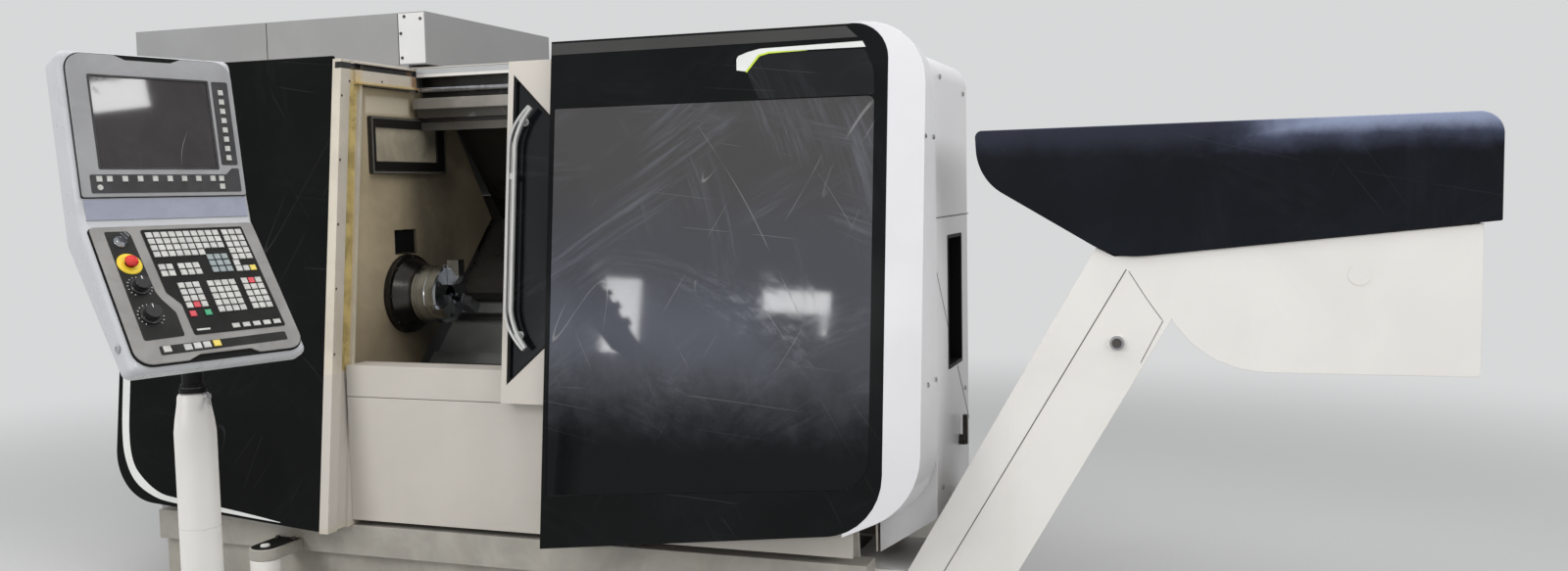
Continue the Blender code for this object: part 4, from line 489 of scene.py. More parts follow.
class Wiring:
    """Adds nodes to one node tree and joins them."""

    def __init__(self, tree: bpy.types.NodeTree) -> None:
        """Keep the tree that the nodes go into."""
        self.tree = tree

    def add(self, kind: str, inputs: Optional[dict] = None, **attributes: object) -> bpy.types.Node:
        """Add a node.

        Args:
            kind: Type of the node.
            inputs: Values or sockets for its inputs, by name or number.
            **attributes: Settings of the node.

        Returns:
            The node.
        """
        node = self.tree.nodes.new(kind)
        for name, value in attributes.items():
            setattr(node, name, value)
        for key, value in (inputs or {}).items():
            if isinstance(value, Socket):
                self.tree.links.new(value, node.inputs[key])
            else:
                node.inputs[key].default_value = value
        return node

    def sum(self, operation: str, *values: object) -> Socket:
        """Result of a Math node."""
        return self.add("ShaderNodeMath", dict(enumerate(values)), operation=operation).outputs[0]

    def place(self) -> Socket:
        """Object coordinates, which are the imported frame's own at rest."""
        return self.add("ShaderNodeTexCoord").outputs["Object"]

    def height(self, vector: Socket) -> Socket:
        """Upward part of a vector."""
        return self.add("ShaderNodeSeparateXYZ", {0: vector}).outputs["Z"]

    def stretch(self, vector: Socket, scale: Point = (1, 1, 1), turn: Point = (0, 0, 0),
                move: Point = (0, 0, 0)) -> Socket:
        """Scaled, turned and moved coordinates."""
        inputs = {"Vector": vector, "Scale": scale, "Rotation": turn, "Location": move}
        return self.add("ShaderNodeMapping", inputs).outputs[0]

    def noise(self, vector: Socket, scale: object, detail: float = 3.0, rough: float = 0.5,
              twist: float = 0.0) -> Socket:
        """Value of a Noise node.

        Args:
            vector: Coordinates.
            scale: Scale of the noise.
            detail: Number of finer layers.
            rough: Strength of the finer layers.
            twist: Distortion.

        Returns:
            The value.
        """
        inputs = {"Vector": vector, "Scale": scale, "Detail": detail, "Roughness": rough,
                  "Distortion": twist}
        return self.add("ShaderNodeTexNoise", inputs).outputs[0]

    def ramp(self, value: Socket, low: object, high: object, to_low: float = 0.0,
             to_high: object = 1.0) -> Socket:
        """Smooth step from one value to another.

        Args:
            value: Value that drives the step.
            low: Where the step starts.
            high: Where it ends.
            to_low: Result at the start.
            to_high: Result at the end.

        Returns:
            The result.
        """
        inputs = {"Value": value, "From Min": low, "From Max": high, "To Min": to_low,
                  "To Max": to_high}
        return self.add("ShaderNodeMapRange", inputs, interpolation_type="SMOOTHSTEP",
                        clamp=True).outputs[0]

    def mix(self, amount: object, first: object, second: object) -> Socket:
        """Blend of two colours."""
        return self.add("ShaderNodeMix", {0: amount, 6: first, 7: second}, data_type="RGBA").outputs[2]


class EffectLibrary:
    """Node groups of the shared effects, each built once.

    Every recipe takes the wiring of its group's tree and the group's inputs by name, and returns what
    the group puts out.
    """

    def __init__(self) -> None:
        """Start with no group built."""
        self.trees: dict[Effect, bpy.types.NodeTree] = {}
        self.recipes: dict[Effect, tuple[Sequence[str], str, Callable[[Wiring, dict], Socket]]] = {
            Effect.GRAIN: (("Scale", "Depth"), "Height", self.grain),
            Effect.BLOTCHES: (("Scale",), "Mask", self.blotches),
            Effect.EDGES: (("Width", "Scale"), "Mask", self.edges),
            Effect.STREAKS: (("Scale", "Low", "High"), "Mask", self.streaks),
            Effect.SWIRLS: (("Scale", "Amount"), "Mask", self.swirls),
            Effect.HAIRLINES: (("Scale", "Amount"), "Mask", self.hairlines),
            Effect.LAY: (("Scale", "Depth"), "Height", self.lay),
            Effect.DUST: (("Scale", "Amount"), "Mask", self.dust),
            Effect.ZONE: (("X", "Y", "Z", "Half X", "Half Y", "Half Z", "Soft", "Soft X"), "Mask",
                          self.zone),
        }

    def use(self, wiring: Wiring, effect: Effect, **values: float) -> Socket:
        """Place an effect in a material.

        Args:
            wiring: Wiring of the material's tree.
            effect: The effect.
            **values: Values of its inputs; an underscore stands for a space.

        Returns:
            The effect's output.
        """
        if effect not in self.trees:
            self.trees[effect] = self.build(effect)
        node = wiring.add("ShaderNodeGroup", node_tree=self.trees[effect])
        for key, value in values.items():
            node.inputs[key.replace("_", " ")].default_value = value
        return node.outputs[0]

    def build(self, effect: Effect) -> bpy.types.NodeTree:
        """Build the node group of an effect.

        Args:
            effect: The effect.

        Returns:
            Its node tree.
        """
        names, output, recipe = self.recipes[effect]
        tree = bpy.data.node_groups.new(effect.value, "ShaderNodeTree")
        for name in names:
            tree.interface.new_socket(name=name, in_out="INPUT", socket_type="NodeSocketFloat")
        tree.interface.new_socket(name=output, in_out="OUTPUT", socket_type="NodeSocketFloat")
        wiring = Wiring(tree)
        given = wiring.add("NodeGroupInput").outputs
        result = recipe(wiring, {name: given[name] for name in names})
        wiring.add("NodeGroupOutput", {0: result})
        return tree

    @staticmethod
    def grain(w: Wiring, given: dict) -> Socket:
        """Fine orange peel of paint or moulded plastic."""
        coarse = w.noise(w.place(), given["Scale"], 2.0, 0.6)
        return w.sum("MULTIPLY", coarse, given["Depth"])

    @staticmethod
    def blotches(w: Wiring, given: dict) -> Socket:
        """Large soft patches, as on a wiped and sun-aged sheet."""
        large = w.noise(w.place(), given["Scale"], 5.0, 0.62, 0.4)
        return w.ramp(large, 0.34, 0.68)

    @staticmethod
    def edges(w: Wiring, given: dict) -> Socket:
        """Worn edges, broken up by noise."""
        rounded = w.add("ShaderNodeBevel", {"Radius": given["Width"]}, samples=4).outputs[0]
        plain = w.add("ShaderNodeNewGeometry").outputs["Normal"]
        turn = w.add("ShaderNodeVectorMath", {0: rounded, 1: plain}, operation="DOT_PRODUCT")
        edge = w.ramp(turn.outputs["Value"], 0.995, 0.86)
        breaks = w.ramp(w.noise(w.place(), given["Scale"], 6.0, 0.7), 0.46, 0.6)
        return w.sum("MULTIPLY", edge, breaks)

    @staticmethod
    def streaks(w: Wiring, given: dict) -> Socket:
        """Runs and stains that hang down between two heights."""
        place = w.place()
        thin = w.noise(w.stretch(place, (1, 1, 0.07)), given["Scale"], 5.0, 0.65, 0.25)
        reach = w.ramp(w.height(place), given["High"], given["Low"])
        body = w.ramp(thin, w.sum("SUBTRACT", 0.72, w.sum("MULTIPLY", reach, 0.34)), 0.86)
        return w.sum("MULTIPLY", body, w.ramp(reach, 0.0, 0.15))

    @staticmethod
    def swirls(w: Wiring, given: dict) -> Socket:
        """Strokes left by a rag: bundles of fine parallel streaks that bend slowly."""
        place = w.place()
        bend = w.add("ShaderNodeTexNoise", {"Vector": place, "Scale": given["Scale"], "Detail": 0.0})
        bent = w.add("ShaderNodeVectorMath", {0: bend.outputs[1], 1: (0.55, 0.55, 0.55), 2: place},
                     operation="MULTIPLY_ADD").outputs[0]
        total: object = 0.0
        for turn, stretch, shift_by in ((0.45, (1, 1, 0.045), 0.0), (-0.95, (1, 1, 0.06), 3.0),
                                        (1.35, (1, 1, 0.05), 7.0)):
            lain = w.stretch(bent, (1, 1, 1), (0, turn, 0))
            fine = w.ramp(w.noise(w.stretch(lain, stretch), 46.0, 5.0, 0.72), 0.4, 0.8)
            broad = w.ramp(w.noise(w.stretch(lain, (1, 1, 0.28), move=(shift_by, 0, 0)), 4.2, 2.0), 0.5,
                           0.7)
            total = w.sum("MAXIMUM", w.sum("MULTIPLY", fine, broad), total)
        return w.sum("MULTIPLY", total, given["Amount"])

    @staticmethod
    def hairlines(w: Wiring, given: dict) -> Socket:
        """Thin scratches in two directions."""
        place = w.place()
        total: object = 0.0
        for turn, stretch in (((0, 0.62, 0), (1, 1, 0.05)), ((0, -0.5, 0), (1, 1, 0.07)),
                              ((0, 1.45, 0.4), (1, 1, 0.04))):
            lain = w.stretch(w.stretch(place, (1, 1, 1), turn), stretch)
            field_value = w.noise(lain, given["Scale"], 0.0, 0.4, 0.15)
            line = w.ramp(w.sum("ABSOLUTE", w.sum("SUBTRACT", field_value, 0.5)), 0.0045, 0.0)
            patch = w.ramp(w.noise(w.stretch(place, (1, 1, 1), turn), 3.1, 1.0), 0.55, 0.63)
            total = w.sum("ADD", w.sum("MULTIPLY", line, patch), total)
        return w.sum("MULTIPLY", total, given["Amount"])

    @staticmethod
    def lay(w: Wiring, given: dict) -> Socket:
        """Turning marks: rings across the machine's long axis."""
        fine = w.noise(w.stretch(w.place(), (1, 0.02, 0.02)), given["Scale"], 4.0, 0.7)
        return w.sum("MULTIPLY", fine, given["Depth"])

    @staticmethod
    def dust(w: Wiring, given: dict) -> Socket:
        """Dust that settles on faces that look up."""
        normal = w.add("ShaderNodeNewGeometry").outputs["Normal"]
        up = w.ramp(w.height(normal), 0.35, 0.95)
        patch = w.ramp(w.noise(w.place(), given["Scale"], 6.0, 0.7), 0.3, 0.75, 0.25)
        return w.sum("MULTIPLY", w.sum("MULTIPLY", up, patch), given["Amount"])

    @staticmethod
    def zone(w: Wiring, given: dict) -> Socket:
        """Soft block of space with a ragged edge."""
        place = w.place()
        parts = w.add("ShaderNodeSeparateXYZ", {0: place}).outputs
        ragged = w.sum("MULTIPLY", w.sum("SUBTRACT", w.noise(place, 9.0, 6.0, 0.7), 0.5), 1.3)
        worst: object = -9.0
        for axis in "XYZ":
            away = w.sum("ABSOLUTE", w.sum("SUBTRACT", parts[axis], given[axis]))
            soft = given["Soft X" if axis == "X" else "Soft"]
            over = w.sum("DIVIDE", w.sum("SUBTRACT", away, given["Half " + axis]), soft)
            worst = w.sum("MAXIMUM", over, worst)
        return w.ramp(w.sum("ADD", worst, ragged), 1.0, -1.0)


EFFECTS = EffectLibrary()


@dataclass(frozen=True)
class StainOrPaintedLight:
    """Soft coloured area on a surface, placed on the bench; some are real staining, others painted shade,
    sheen or reflection.
    """

    centre: Point
    half: Point
    colour: Rgb
    amount: float = 0.7
    soft: float = 0.03
    soft_x: float = 0.0


@dataclass(frozen=True)
class Finish:
    """Surface with its colour, gloss, grain and wear.

    Masks are worth nothing where their amount is 0, and are then not built.
    """

    name: str
    colour: Rgb
    roughness: float = 0.42
    metallic: float = 0.0
    specular: float = 0.5
    coat: float = 0.0
    shade: float = 0.1
    shade_scale: float = 2.5
    grain: float = 0.00003
    grain_scale: float = 260.0
    lay: float = 0.0
    wear: float = 0.0
    wear_colour: Rgb = (0.3, 0.29, 0.28)
    streaks: float = 0.0
    streak_colour: Rgb = (0.28, 0.22, 0.12)
    streak_span: Flat = (0.3, 1.9)
    swirls: float = 0.0
    swirl_colour: Rgb = (0.3, 0.31, 0.34)
    scratches: float = 0.0
    scratch_colour: Rgb = (0.42, 0.42, 0.42)
    smear_floor: float = 0.0
    dust: float = 0.0
    dust_colour: Rgb = (0.38, 0.36, 0.33)
    stains_and_painted_light: tuple[StainOrPaintedLight, ...] = ()
    glow: float = 0.0

    @cache
    def build(self) -> bpy.types.Material:
        """Build the material, which happens only once for each finish.

        Returns:
            The finished material.
        """
        material = bpy.data.materials.new(self.name)
        material.use_nodes = True
        material.diffuse_color = (*self.colour, 1.0)
        w = Wiring(material.node_tree)
        shader = material.node_tree.nodes["Principled BSDF"]
        shader.inputs["Metallic"].default_value = self.metallic
        shader.inputs["Specular IOR Level"].default_value = self.specular
        shader.inputs["Coat Weight"].default_value = self.coat
        shader.inputs["Coat Roughness"].default_value = 0.06
        blotches = EFFECTS.use(w, Effect.BLOTCHES, Scale=self.shade_scale)
        dark = tuple(c * (1.0 - self.shade) for c in self.colour)
        pale = tuple(min(1.0, c * (1.0 + self.shade * 0.35)) for c in self.colour)
        colour = w.mix(blotches, (*dark, 1), (*pale, 1))
        rough: Socket = w.ramp(blotches, 0.0, 1.0, self.roughness * 0.86, self.roughness * 1.14)
        heights = []
        if self.grain:
            heights.append(EFFECTS.use(w, Effect.GRAIN, Scale=self.grain_scale, Depth=self.grain))
        if self.lay:
            heights.append(EFFECTS.use(w, Effect.LAY, Scale=900.0, Depth=self.lay))
        colour, rough = self.marks(w, colour, rough)
        w.tree.links.new(colour, shader.inputs["Base Color"])
        w.tree.links.new(rough, shader.inputs["Roughness"])
        if heights:
            height = heights[0] if len(heights) == 1 else w.sum("ADD", *heights)
            bump = w.add("ShaderNodeBump", {"Height": height, "Distance": 1.0, "Strength": 1.0})
            w.tree.links.new(bump.outputs[0], shader.inputs["Normal"])
        if self.glow:
            w.tree.links.new(colour, shader.inputs["Emission Color"])
            shader.inputs["Emission Strength"].default_value = self.glow
        return material

    def marks(self, w: Wiring, colour: Socket, rough: Socket) -> tuple[Socket, Socket]:
        """Lay zones of real staining and of painted light, then wear, smears and dust over the clean
        surface.

        Args:
            w: Wiring of the material.
            colour: Clean colour.
            rough: Clean roughness.

        Returns:
            Colour and roughness with the marks.
        """
        for coloured_zone in self.stains_and_painted_light:
            x, y, z = BENCH @ Vector(coloured_zone.centre)
            mask = EFFECTS.use(w, Effect.ZONE, X=x, Y=y, Z=z, Half_X=coloured_zone.half[0],
                               Half_Y=coloured_zone.half[1], Half_Z=coloured_zone.half[2], Soft=coloured_zone.soft,
                               Soft_X=coloured_zone.soft_x or coloured_zone.soft)
            colour = w.mix(w.sum("MULTIPLY", mask, coloured_zone.amount), colour, (*coloured_zone.colour, 1))
        low, high = self.streak_span
        layers: list[tuple[float, Rgb, float, Effect, dict]] = [
            (self.streaks, self.streak_colour, 0.55, Effect.STREAKS,
             {"Scale": 7.0, "Low": low, "High": high}),
            (self.swirls, self.swirl_colour, 0.42, Effect.SWIRLS, {"Scale": 0.9, "Amount": 1.0}),
            (self.scratches, self.scratch_colour, 0.5, Effect.HAIRLINES, {"Scale": 8.0, "Amount": 1.0}),
            (self.wear, self.wear_colour, 0.5, Effect.EDGES, {"Width": 0.003, "Scale": 30.0}),
            (self.dust, self.dust_colour, 0.8, Effect.DUST, {"Scale": 6.0, "Amount": 1.0}),
        ]
        for amount, tint, gloss, effect, values in layers:
            if amount:
                mask = w.sum("MULTIPLY", EFFECTS.use(w, effect, **values), amount)
                if self.smear_floor and effect in (Effect.SWIRLS, Effect.HAIRLINES):
                    above = w.ramp(w.height(w.place()), self.smear_floor - 0.2, self.smear_floor + 0.2)
                    mask = w.sum("MULTIPLY", mask, above)
                colour = w.mix(mask, colour, (*tint, 1))
                rough = w.sum("ADD", rough, w.sum("MULTIPLY", mask, gloss - self.roughness))
        return colour, rough


# Colours that several finishes share
SHEET_CREAM = (0.465, 0.433, 0.39)
GOLD = (0.52, 0.36, 0.1)
RUST = (0.2, 0.1, 0.04)
WARM_BLACK = (0.05, 0.045, 0.038)
SHADOW = (0.006, 0.006, 0.0055)
DEEP_UMBER = (0.035, 0.032, 0.027)


class Paint(Enum):
    """All finishes of the machine."""

    CREAM = Finish(
        "cream_panel_paint", SHEET_CREAM, 0.36, shade=0.05, wear=0.25, streaks=0.08,
        streak_span=(0.25, 1.1), dust=0.15)
    BASE = Finish(
        "cream_base_paint", (0.345, 0.325, 0.285), 0.5, shade=0.2, shade_scale=5.0, wear=0.6, streaks=0.3,
        streak_span=(0.05, 0.45), dust=0.4)
    WHITE = Finish(
        "white_shell_paint", (0.62, 0.615, 0.63), 0.22, coat=0.2, shade=0.03, wear=0.1, streaks=0.08,
        streak_colour=(0.42, 0.38, 0.3), streak_span=(0.3, 1.0), grain=0.00002)
    SIDE = Finish(
        "white_side_paint", (0.68, 0.67, 0.68), 0.32, shade=0.06, wear=0.2, streaks=0.12,
        streak_span=(0.3, 1.2), scratches=0.12, scratch_colour=(0.35, 0.34, 0.33))
    BLACK = Finish(
        "satin_black_paint", (0.0042, 0.0048, 0.0044), 0.44, specular=0.06, shade=0.25, swirls=0.012,
        dust=0.06, scratches=0.035, grain=0.00002)
    SURROUND = Finish(
        "gloss_black_surround", (0.005, 0.0055, 0.0058), 0.2, specular=0.1, shade=0.2, scratches=0.04,
        swirls=0.012)
    BAND = Finish("dark_grey_band", (0.044, 0.043, 0.042), 0.4, specular=0.2, scratches=0.1)
    GLASS = Finish(
        "smoked_glass", (0.0045, 0.005, 0.006), 0.045, specular=0.15, shade=0.25, shade_scale=1.6,
        grain=0.0, swirls=0.45, swirl_colour=(0.17, 0.18, 0.215), scratches=0.3, smear_floor=0.8,
        stains_and_painted_light=(
            # The first zone is a grey film down to 0.8 m; below it the pane stays dark, a painted dark
            # reflection of what stands in front. Then a darker warm band along the top, and a paler blue
            # band at 1 m.
            StainOrPaintedLight((1.38, 0.0, 1.66), (1.2, 0.5, 0.86), (0.062, 0.064, 0.074), 0.92, 0.16, 0.04),
            StainOrPaintedLight((1.38, 0.0, 1.72), (1.2, 0.5, 0.34), (0.052, 0.05, 0.049), 0.85, 0.16),
            StainOrPaintedLight((1.15, 0.0, 1.02), (0.42, 0.5, 0.1), (0.1, 0.11, 0.135), 0.55, 0.12)))
    DOOR_GLASS = Finish(
        "door_glass", (0.005, 0.0055, 0.007), 0.12, specular=0.3, shade=0.2, grain=0.0, swirls=0.05,
        scratches=0.08)
    JAMB = Finish(
        "oily_jamb_paint", (0.5, 0.455, 0.38), 0.38, shade=0.12, shade_scale=6.0, streaks=0.35,
        streak_colour=GOLD, streak_span=(0.7, 2.2), wear=0.5, wear_colour=RUST,
        stains_and_painted_light=(
            # A near-black band across the top of the jamb, from 1.90 to 1.92 m, is painted shade.
            StainOrPaintedLight((-0.006, 0.035, 1.911), (0.02, 0.6, 0.0112), (0.006, 0.006, 0.006), 1.0, 0.0006),
            StainOrPaintedLight((0.004, 0.3, 1.853), (0.02, 0.19, 0.006), GOLD, 0.65, 0.006),
            StainOrPaintedLight((0.0, 0.135, 1.86), (0.02, 0.02, 0.035), GOLD, 0.55, 0.02),
            StainOrPaintedLight((0.0, 0.47, 1.87), (0.03, 0.018, 0.05), RUST, 0.85, 0.012),
            StainOrPaintedLight((-0.018, 0.0, 0.58), (0.05, 0.3, 0.262), SHEET_CREAM, 1.0, 0.004)))
    GROOVE = Finish(
        "golden_oil_groove", (0.5, 0.385, 0.155), 0.3, shade=0.35, shade_scale=9.0, streaks=0.7,
        streak_colour=(0.3, 0.2, 0.05), streak_span=(0.5, 2.2))
    WALL = Finish(
        "stained_wall_sheet", (0.43, 0.355, 0.235), 0.42, shade=0.16, shade_scale=3.5, streaks=0.75,
        streak_colour=(0.25, 0.185, 0.095), streak_span=(0.75, 1.9), grain=0.00006,
        stains_and_painted_light=(
            StainOrPaintedLight((-0.03, 0.34, 1.785), (0.05, 0.13, 0.032), (0.6, 0.53, 0.41), 0.9, 0.008),
            StainOrPaintedLight((-0.03, 0.36, 0.92), (0.05, 0.34, 0.1), (0.16, 0.12, 0.08), 0.6, 0.1),
            # A darker patch towards the back of the wall, below the lamp.
            StainOrPaintedLight((-0.03, 0.62, 1.15), (0.05, 0.14, 0.4), WARM_BLACK, 0.75, 0.12)))
    SILL_INSIDE = Finish(
        "oily_dark_sheet", (0.05, 0.047, 0.04), 0.3, metallic=0.5, shade=0.4, streaks=0.4, grain=0.00008)
    GREY = Finish(
        "pale_grey_casing", (0.255, 0.255, 0.255), 0.42, shade=0.08, wear=0.25, streaks=0.1, dust=0.4)
    CONVEYOR = Finish(
        "warm_white_conveyor", (0.68, 0.662, 0.63), 0.33, shade=0.04, wear=0.3, streaks=0.08,
        streak_span=(0.1, 1.3), scratches=0.06, scratch_colour=(0.3, 0.29, 0.27))
    HOOD = Finish(
        "blue_black_hood", (0.0055, 0.0072, 0.0105), 0.38, specular=0.12, shade=0.3, shade_scale=3.0,
        dust=0.55, dust_colour=(0.16, 0.18, 0.25), swirls=0.012, scratches=0.02,
        stains_and_painted_light=(
            # The three zones are painted sheen: a faint blue one along the top, then a blue-grey one and a
            # brighter pale blue one on the rolled top edge at the right.
            StainOrPaintedLight((2.6, 0.1, 1.62), (0.46, 0.4, 0.06), (0.026, 0.029, 0.045), 0.8, 0.045),
            StainOrPaintedLight((3.34, 0.1, 1.66), (0.36, 0.4, 0.096), (0.07, 0.08, 0.13), 0.85, 0.05, 0.16),
            StainOrPaintedLight((3.36, 0.1, 1.67), (0.3, 0.4, 0.08), (0.26, 0.3, 0.42), 0.85, 0.024, 0.14)))
    STEEL = Finish(
        "turned_steel", (0.52, 0.55, 0.58), 0.22, metallic=1.0, shade=0.12, shade_scale=7.0, grain=0.0,
        lay=0.00003)
    DARK_STEEL = Finish(
        "oily_blackened_steel", (0.055, 0.052, 0.047), 0.3, metallic=0.9, shade=0.25, shade_scale=9.0,
        grain=0.00004, wear=0.35, wear_colour=(0.4, 0.39, 0.37))
    JAW = Finish(
        "ground_jaw_steel", (0.4, 0.41, 0.43), 0.24, metallic=1.0, shade=0.25, shade_scale=30.0,
        grain=0.00002, wear=0.5, wear_colour=(0.7, 0.7, 0.7))
    GRIP = Finish(
        "silver_grab_bar", (0.46, 0.46, 0.45), 0.36, metallic=0.45, shade=0.12, shade_scale=9.0, wear=0.5,
        wear_colour=(0.2, 0.2, 0.2), scratches=0.5)
    IRON = Finish(
        "grey_casting_paint", (0.13, 0.135, 0.13), 0.42, shade=0.3, wear=0.5,
        wear_colour=(0.35, 0.34, 0.32), grain=0.00012, grain_scale=150.0, dust=0.25)
    COVER = Finish(
        "way_cover_sheet", (0.2, 0.195, 0.185), 0.3, metallic=0.85, shade=0.35, shade_scale=5.0,
        streaks=0.3, grain=0.00004, scratches=0.5)
    RUBBER = Finish("black_rubber", (0.008, 0.008, 0.008), 0.6, specular=0.12, grain=0.00006)
    # Dark joints; on the conveyor also painted shade lines.
    SEAM_AND_SHADE_LINE = Finish("dark_seam_and_shade_line", (0.035, 0.032, 0.028), 0.7, specular=0.2)
    SCREW = Finish("dark_screw", (0.11, 0.105, 0.1), 0.35, metallic=0.9, wear=0.4)
    BRIGHT_SCREW = Finish(
        "zinc_screw", (0.45, 0.44, 0.42), 0.3, metallic=1.0, shade=0.3, shade_scale=60.0)
    HOUSING = Finish(
        "panel_housing_paint", (0.44, 0.447, 0.462), 0.3, shade=0.05, shade_scale=6.0, wear=0.25,
        grain=0.00004, grain_scale=500.0, dust=0.1)
    BEZEL = Finish(
        "panel_grey_plastic", (0.295, 0.295, 0.3), 0.45, specular=0.35, shade=0.12, shade_scale=9.0,
        grain=0.00004, grain_scale=900.0, wear=0.3, wear_colour=(0.5, 0.5, 0.5))
    DESK = Finish(
        "desk_grey_plastic", (0.235, 0.228, 0.217), 0.45, specular=0.35, shade=0.16, shade_scale=9.0,
        grain=0.00004, grain_scale=900.0, wear=0.3, wear_colour=(0.45, 0.45, 0.45))
    LIP = Finish("panel_lip_strip", (0.27, 0.285, 0.355), 0.32, shade=0.12, shade_scale=8.0, coat=0.2)
    KEY_FIELD = Finish(
        "black_key_field", (0.012, 0.0115, 0.011), 0.42, specular=0.2, shade=0.3, shade_scale=16.0,
        grain=0.00004, grain_scale=1200.0, dust=0.1, dust_colour=(0.08, 0.08, 0.08))
    COLUMN = Finish(
        "black_switch_column", (0.022, 0.0215, 0.0205), 0.45, specular=0.2, shade=0.3, shade_scale=12.0,
        grain=0.00004, grain_scale=1200.0, dust=0.1, dust_colour=(0.08, 0.08, 0.08))
    SOFT_STRIP = Finish(
        "grey_key_strip", (0.05, 0.049, 0.051), 0.45, specular=0.25, shade=0.25, shade_scale=16.0,
        grain=0.00004, grain_scale=1200.0)
    KEY = Finish(
        "worn_white_key", (0.5, 0.495, 0.47), 0.4, shade=0.18, shade_scale=40.0, grain_scale=1500.0)
    KEY_GREY = Finish("grey_green_key", (0.27, 0.31, 0.31), 0.4, shade=0.12, shade_scale=40.0)
    KEY_YELLOW = Finish("yellow_key", (0.68, 0.54, 0.11), 0.4, shade=0.12, shade_scale=40.0)
    KEY_RED = Finish("red_key", (0.58, 0.07, 0.09), 0.38, shade=0.12, shade_scale=40.0)
    KEY_GREEN = Finish("green_key", (0.06, 0.34, 0.17), 0.38, shade=0.12, shade_scale=40.0)
    RED = Finish(
        "red_mushroom_plastic", (0.6, 0.022, 0.016), 0.24, coat=0.3, shade=0.15, shade_scale=30.0)
    YELLOW = Finish("yellow_collar", (0.75, 0.55, 0.03), 0.35, shade=0.12, shade_scale=20.0)
    KNOB = Finish("black_knob", (0.012, 0.012, 0.012), 0.2, coat=0.4, shade=0.2, grain=0.00001)
    MARK = Finish("white_mark", (0.72, 0.72, 0.7), 0.4, grain=0.0)
    SCREEN = Finish(
        "dark_screen", (0.03, 0.026, 0.027), 0.035, shade=0.25, shade_scale=6.0, grain=0.0, swirls=0.35,
        swirl_colour=(0.1, 0.095, 0.095), scratches=0.7)
    STRIPE = Finish("white_stripe_foil", (0.62, 0.63, 0.615), 0.35, streaks=0.2)
    LIME = Finish("lime_stripe_foil", (0.46, 0.6, 0.04), 0.4)
    LENS = Finish(
        "frosted_lamp_glass", (0.36, 0.32, 0.24), 0.35, shade=0.25, shade_scale=7.0, grain=0.0, glow=0.08,
        stains_and_painted_light=(StainOrPaintedLight((-0.02, 0.6, 1.66), (0.05, 0.06, 0.05), (0.06, 0.055, 0.045), 0.85, 0.05),))
    LAMP_FRAME = Finish("lamp_frame", (0.012, 0.011, 0.01), 0.4, shade=0.2, wear=0.3)
    PORT = Finish("port_mesh", (0.008, 0.008, 0.008), 0.7, specular=0.1)
    PALE_STRIP = Finish(
        "worn_lip_sheet", (0.16, 0.15, 0.13), 0.35, metallic=0.3, shade=0.3, shade_scale=5.0)
    CHANNEL = Finish(
        "pale_channel_sheet", (0.24, 0.225, 0.2), 0.35, metallic=0.2, shade=0.25, shade_scale=5.0,
        scratches=0.2,
        stains_and_painted_light=(
            # Bands across the beam: a grey band and a thin pale line, then near-black painted shadow bands
            # with darker bands between them.
            StainOrPaintedLight((0.93, 0.53, 1.9235), (1.2, 0.1, 0.012), (0.4, 0.405, 0.41), 1.0, 0.0006),
            StainOrPaintedLight((0.93, 0.53, 1.906), (1.2, 0.1, 0.0055), (0.66, 0.64, 0.6), 1.0, 0.0005),
            StainOrPaintedLight((0.93, 0.53, 1.8605), (1.2, 0.1, 0.0395), SHADOW, 1.0, 0.0008),
            StainOrPaintedLight((0.93, 0.52, 1.761), (1.2, 0.1, 0.0165), DEEP_UMBER, 0.9, 0.0012),
            StainOrPaintedLight((0.93, 0.54, 1.737), (1.2, 0.1, 0.0085), SHADOW, 0.95, 0.0012),
            StainOrPaintedLight((0.93, 0.54, 1.713), (1.2, 0.1, 0.015), DEEP_UMBER, 0.7, 0.004)))
    POST_WHITE = Finish("pale_corner_paint", (0.6, 0.6, 0.59), 0.4, shade=0.08, wear=0.3)


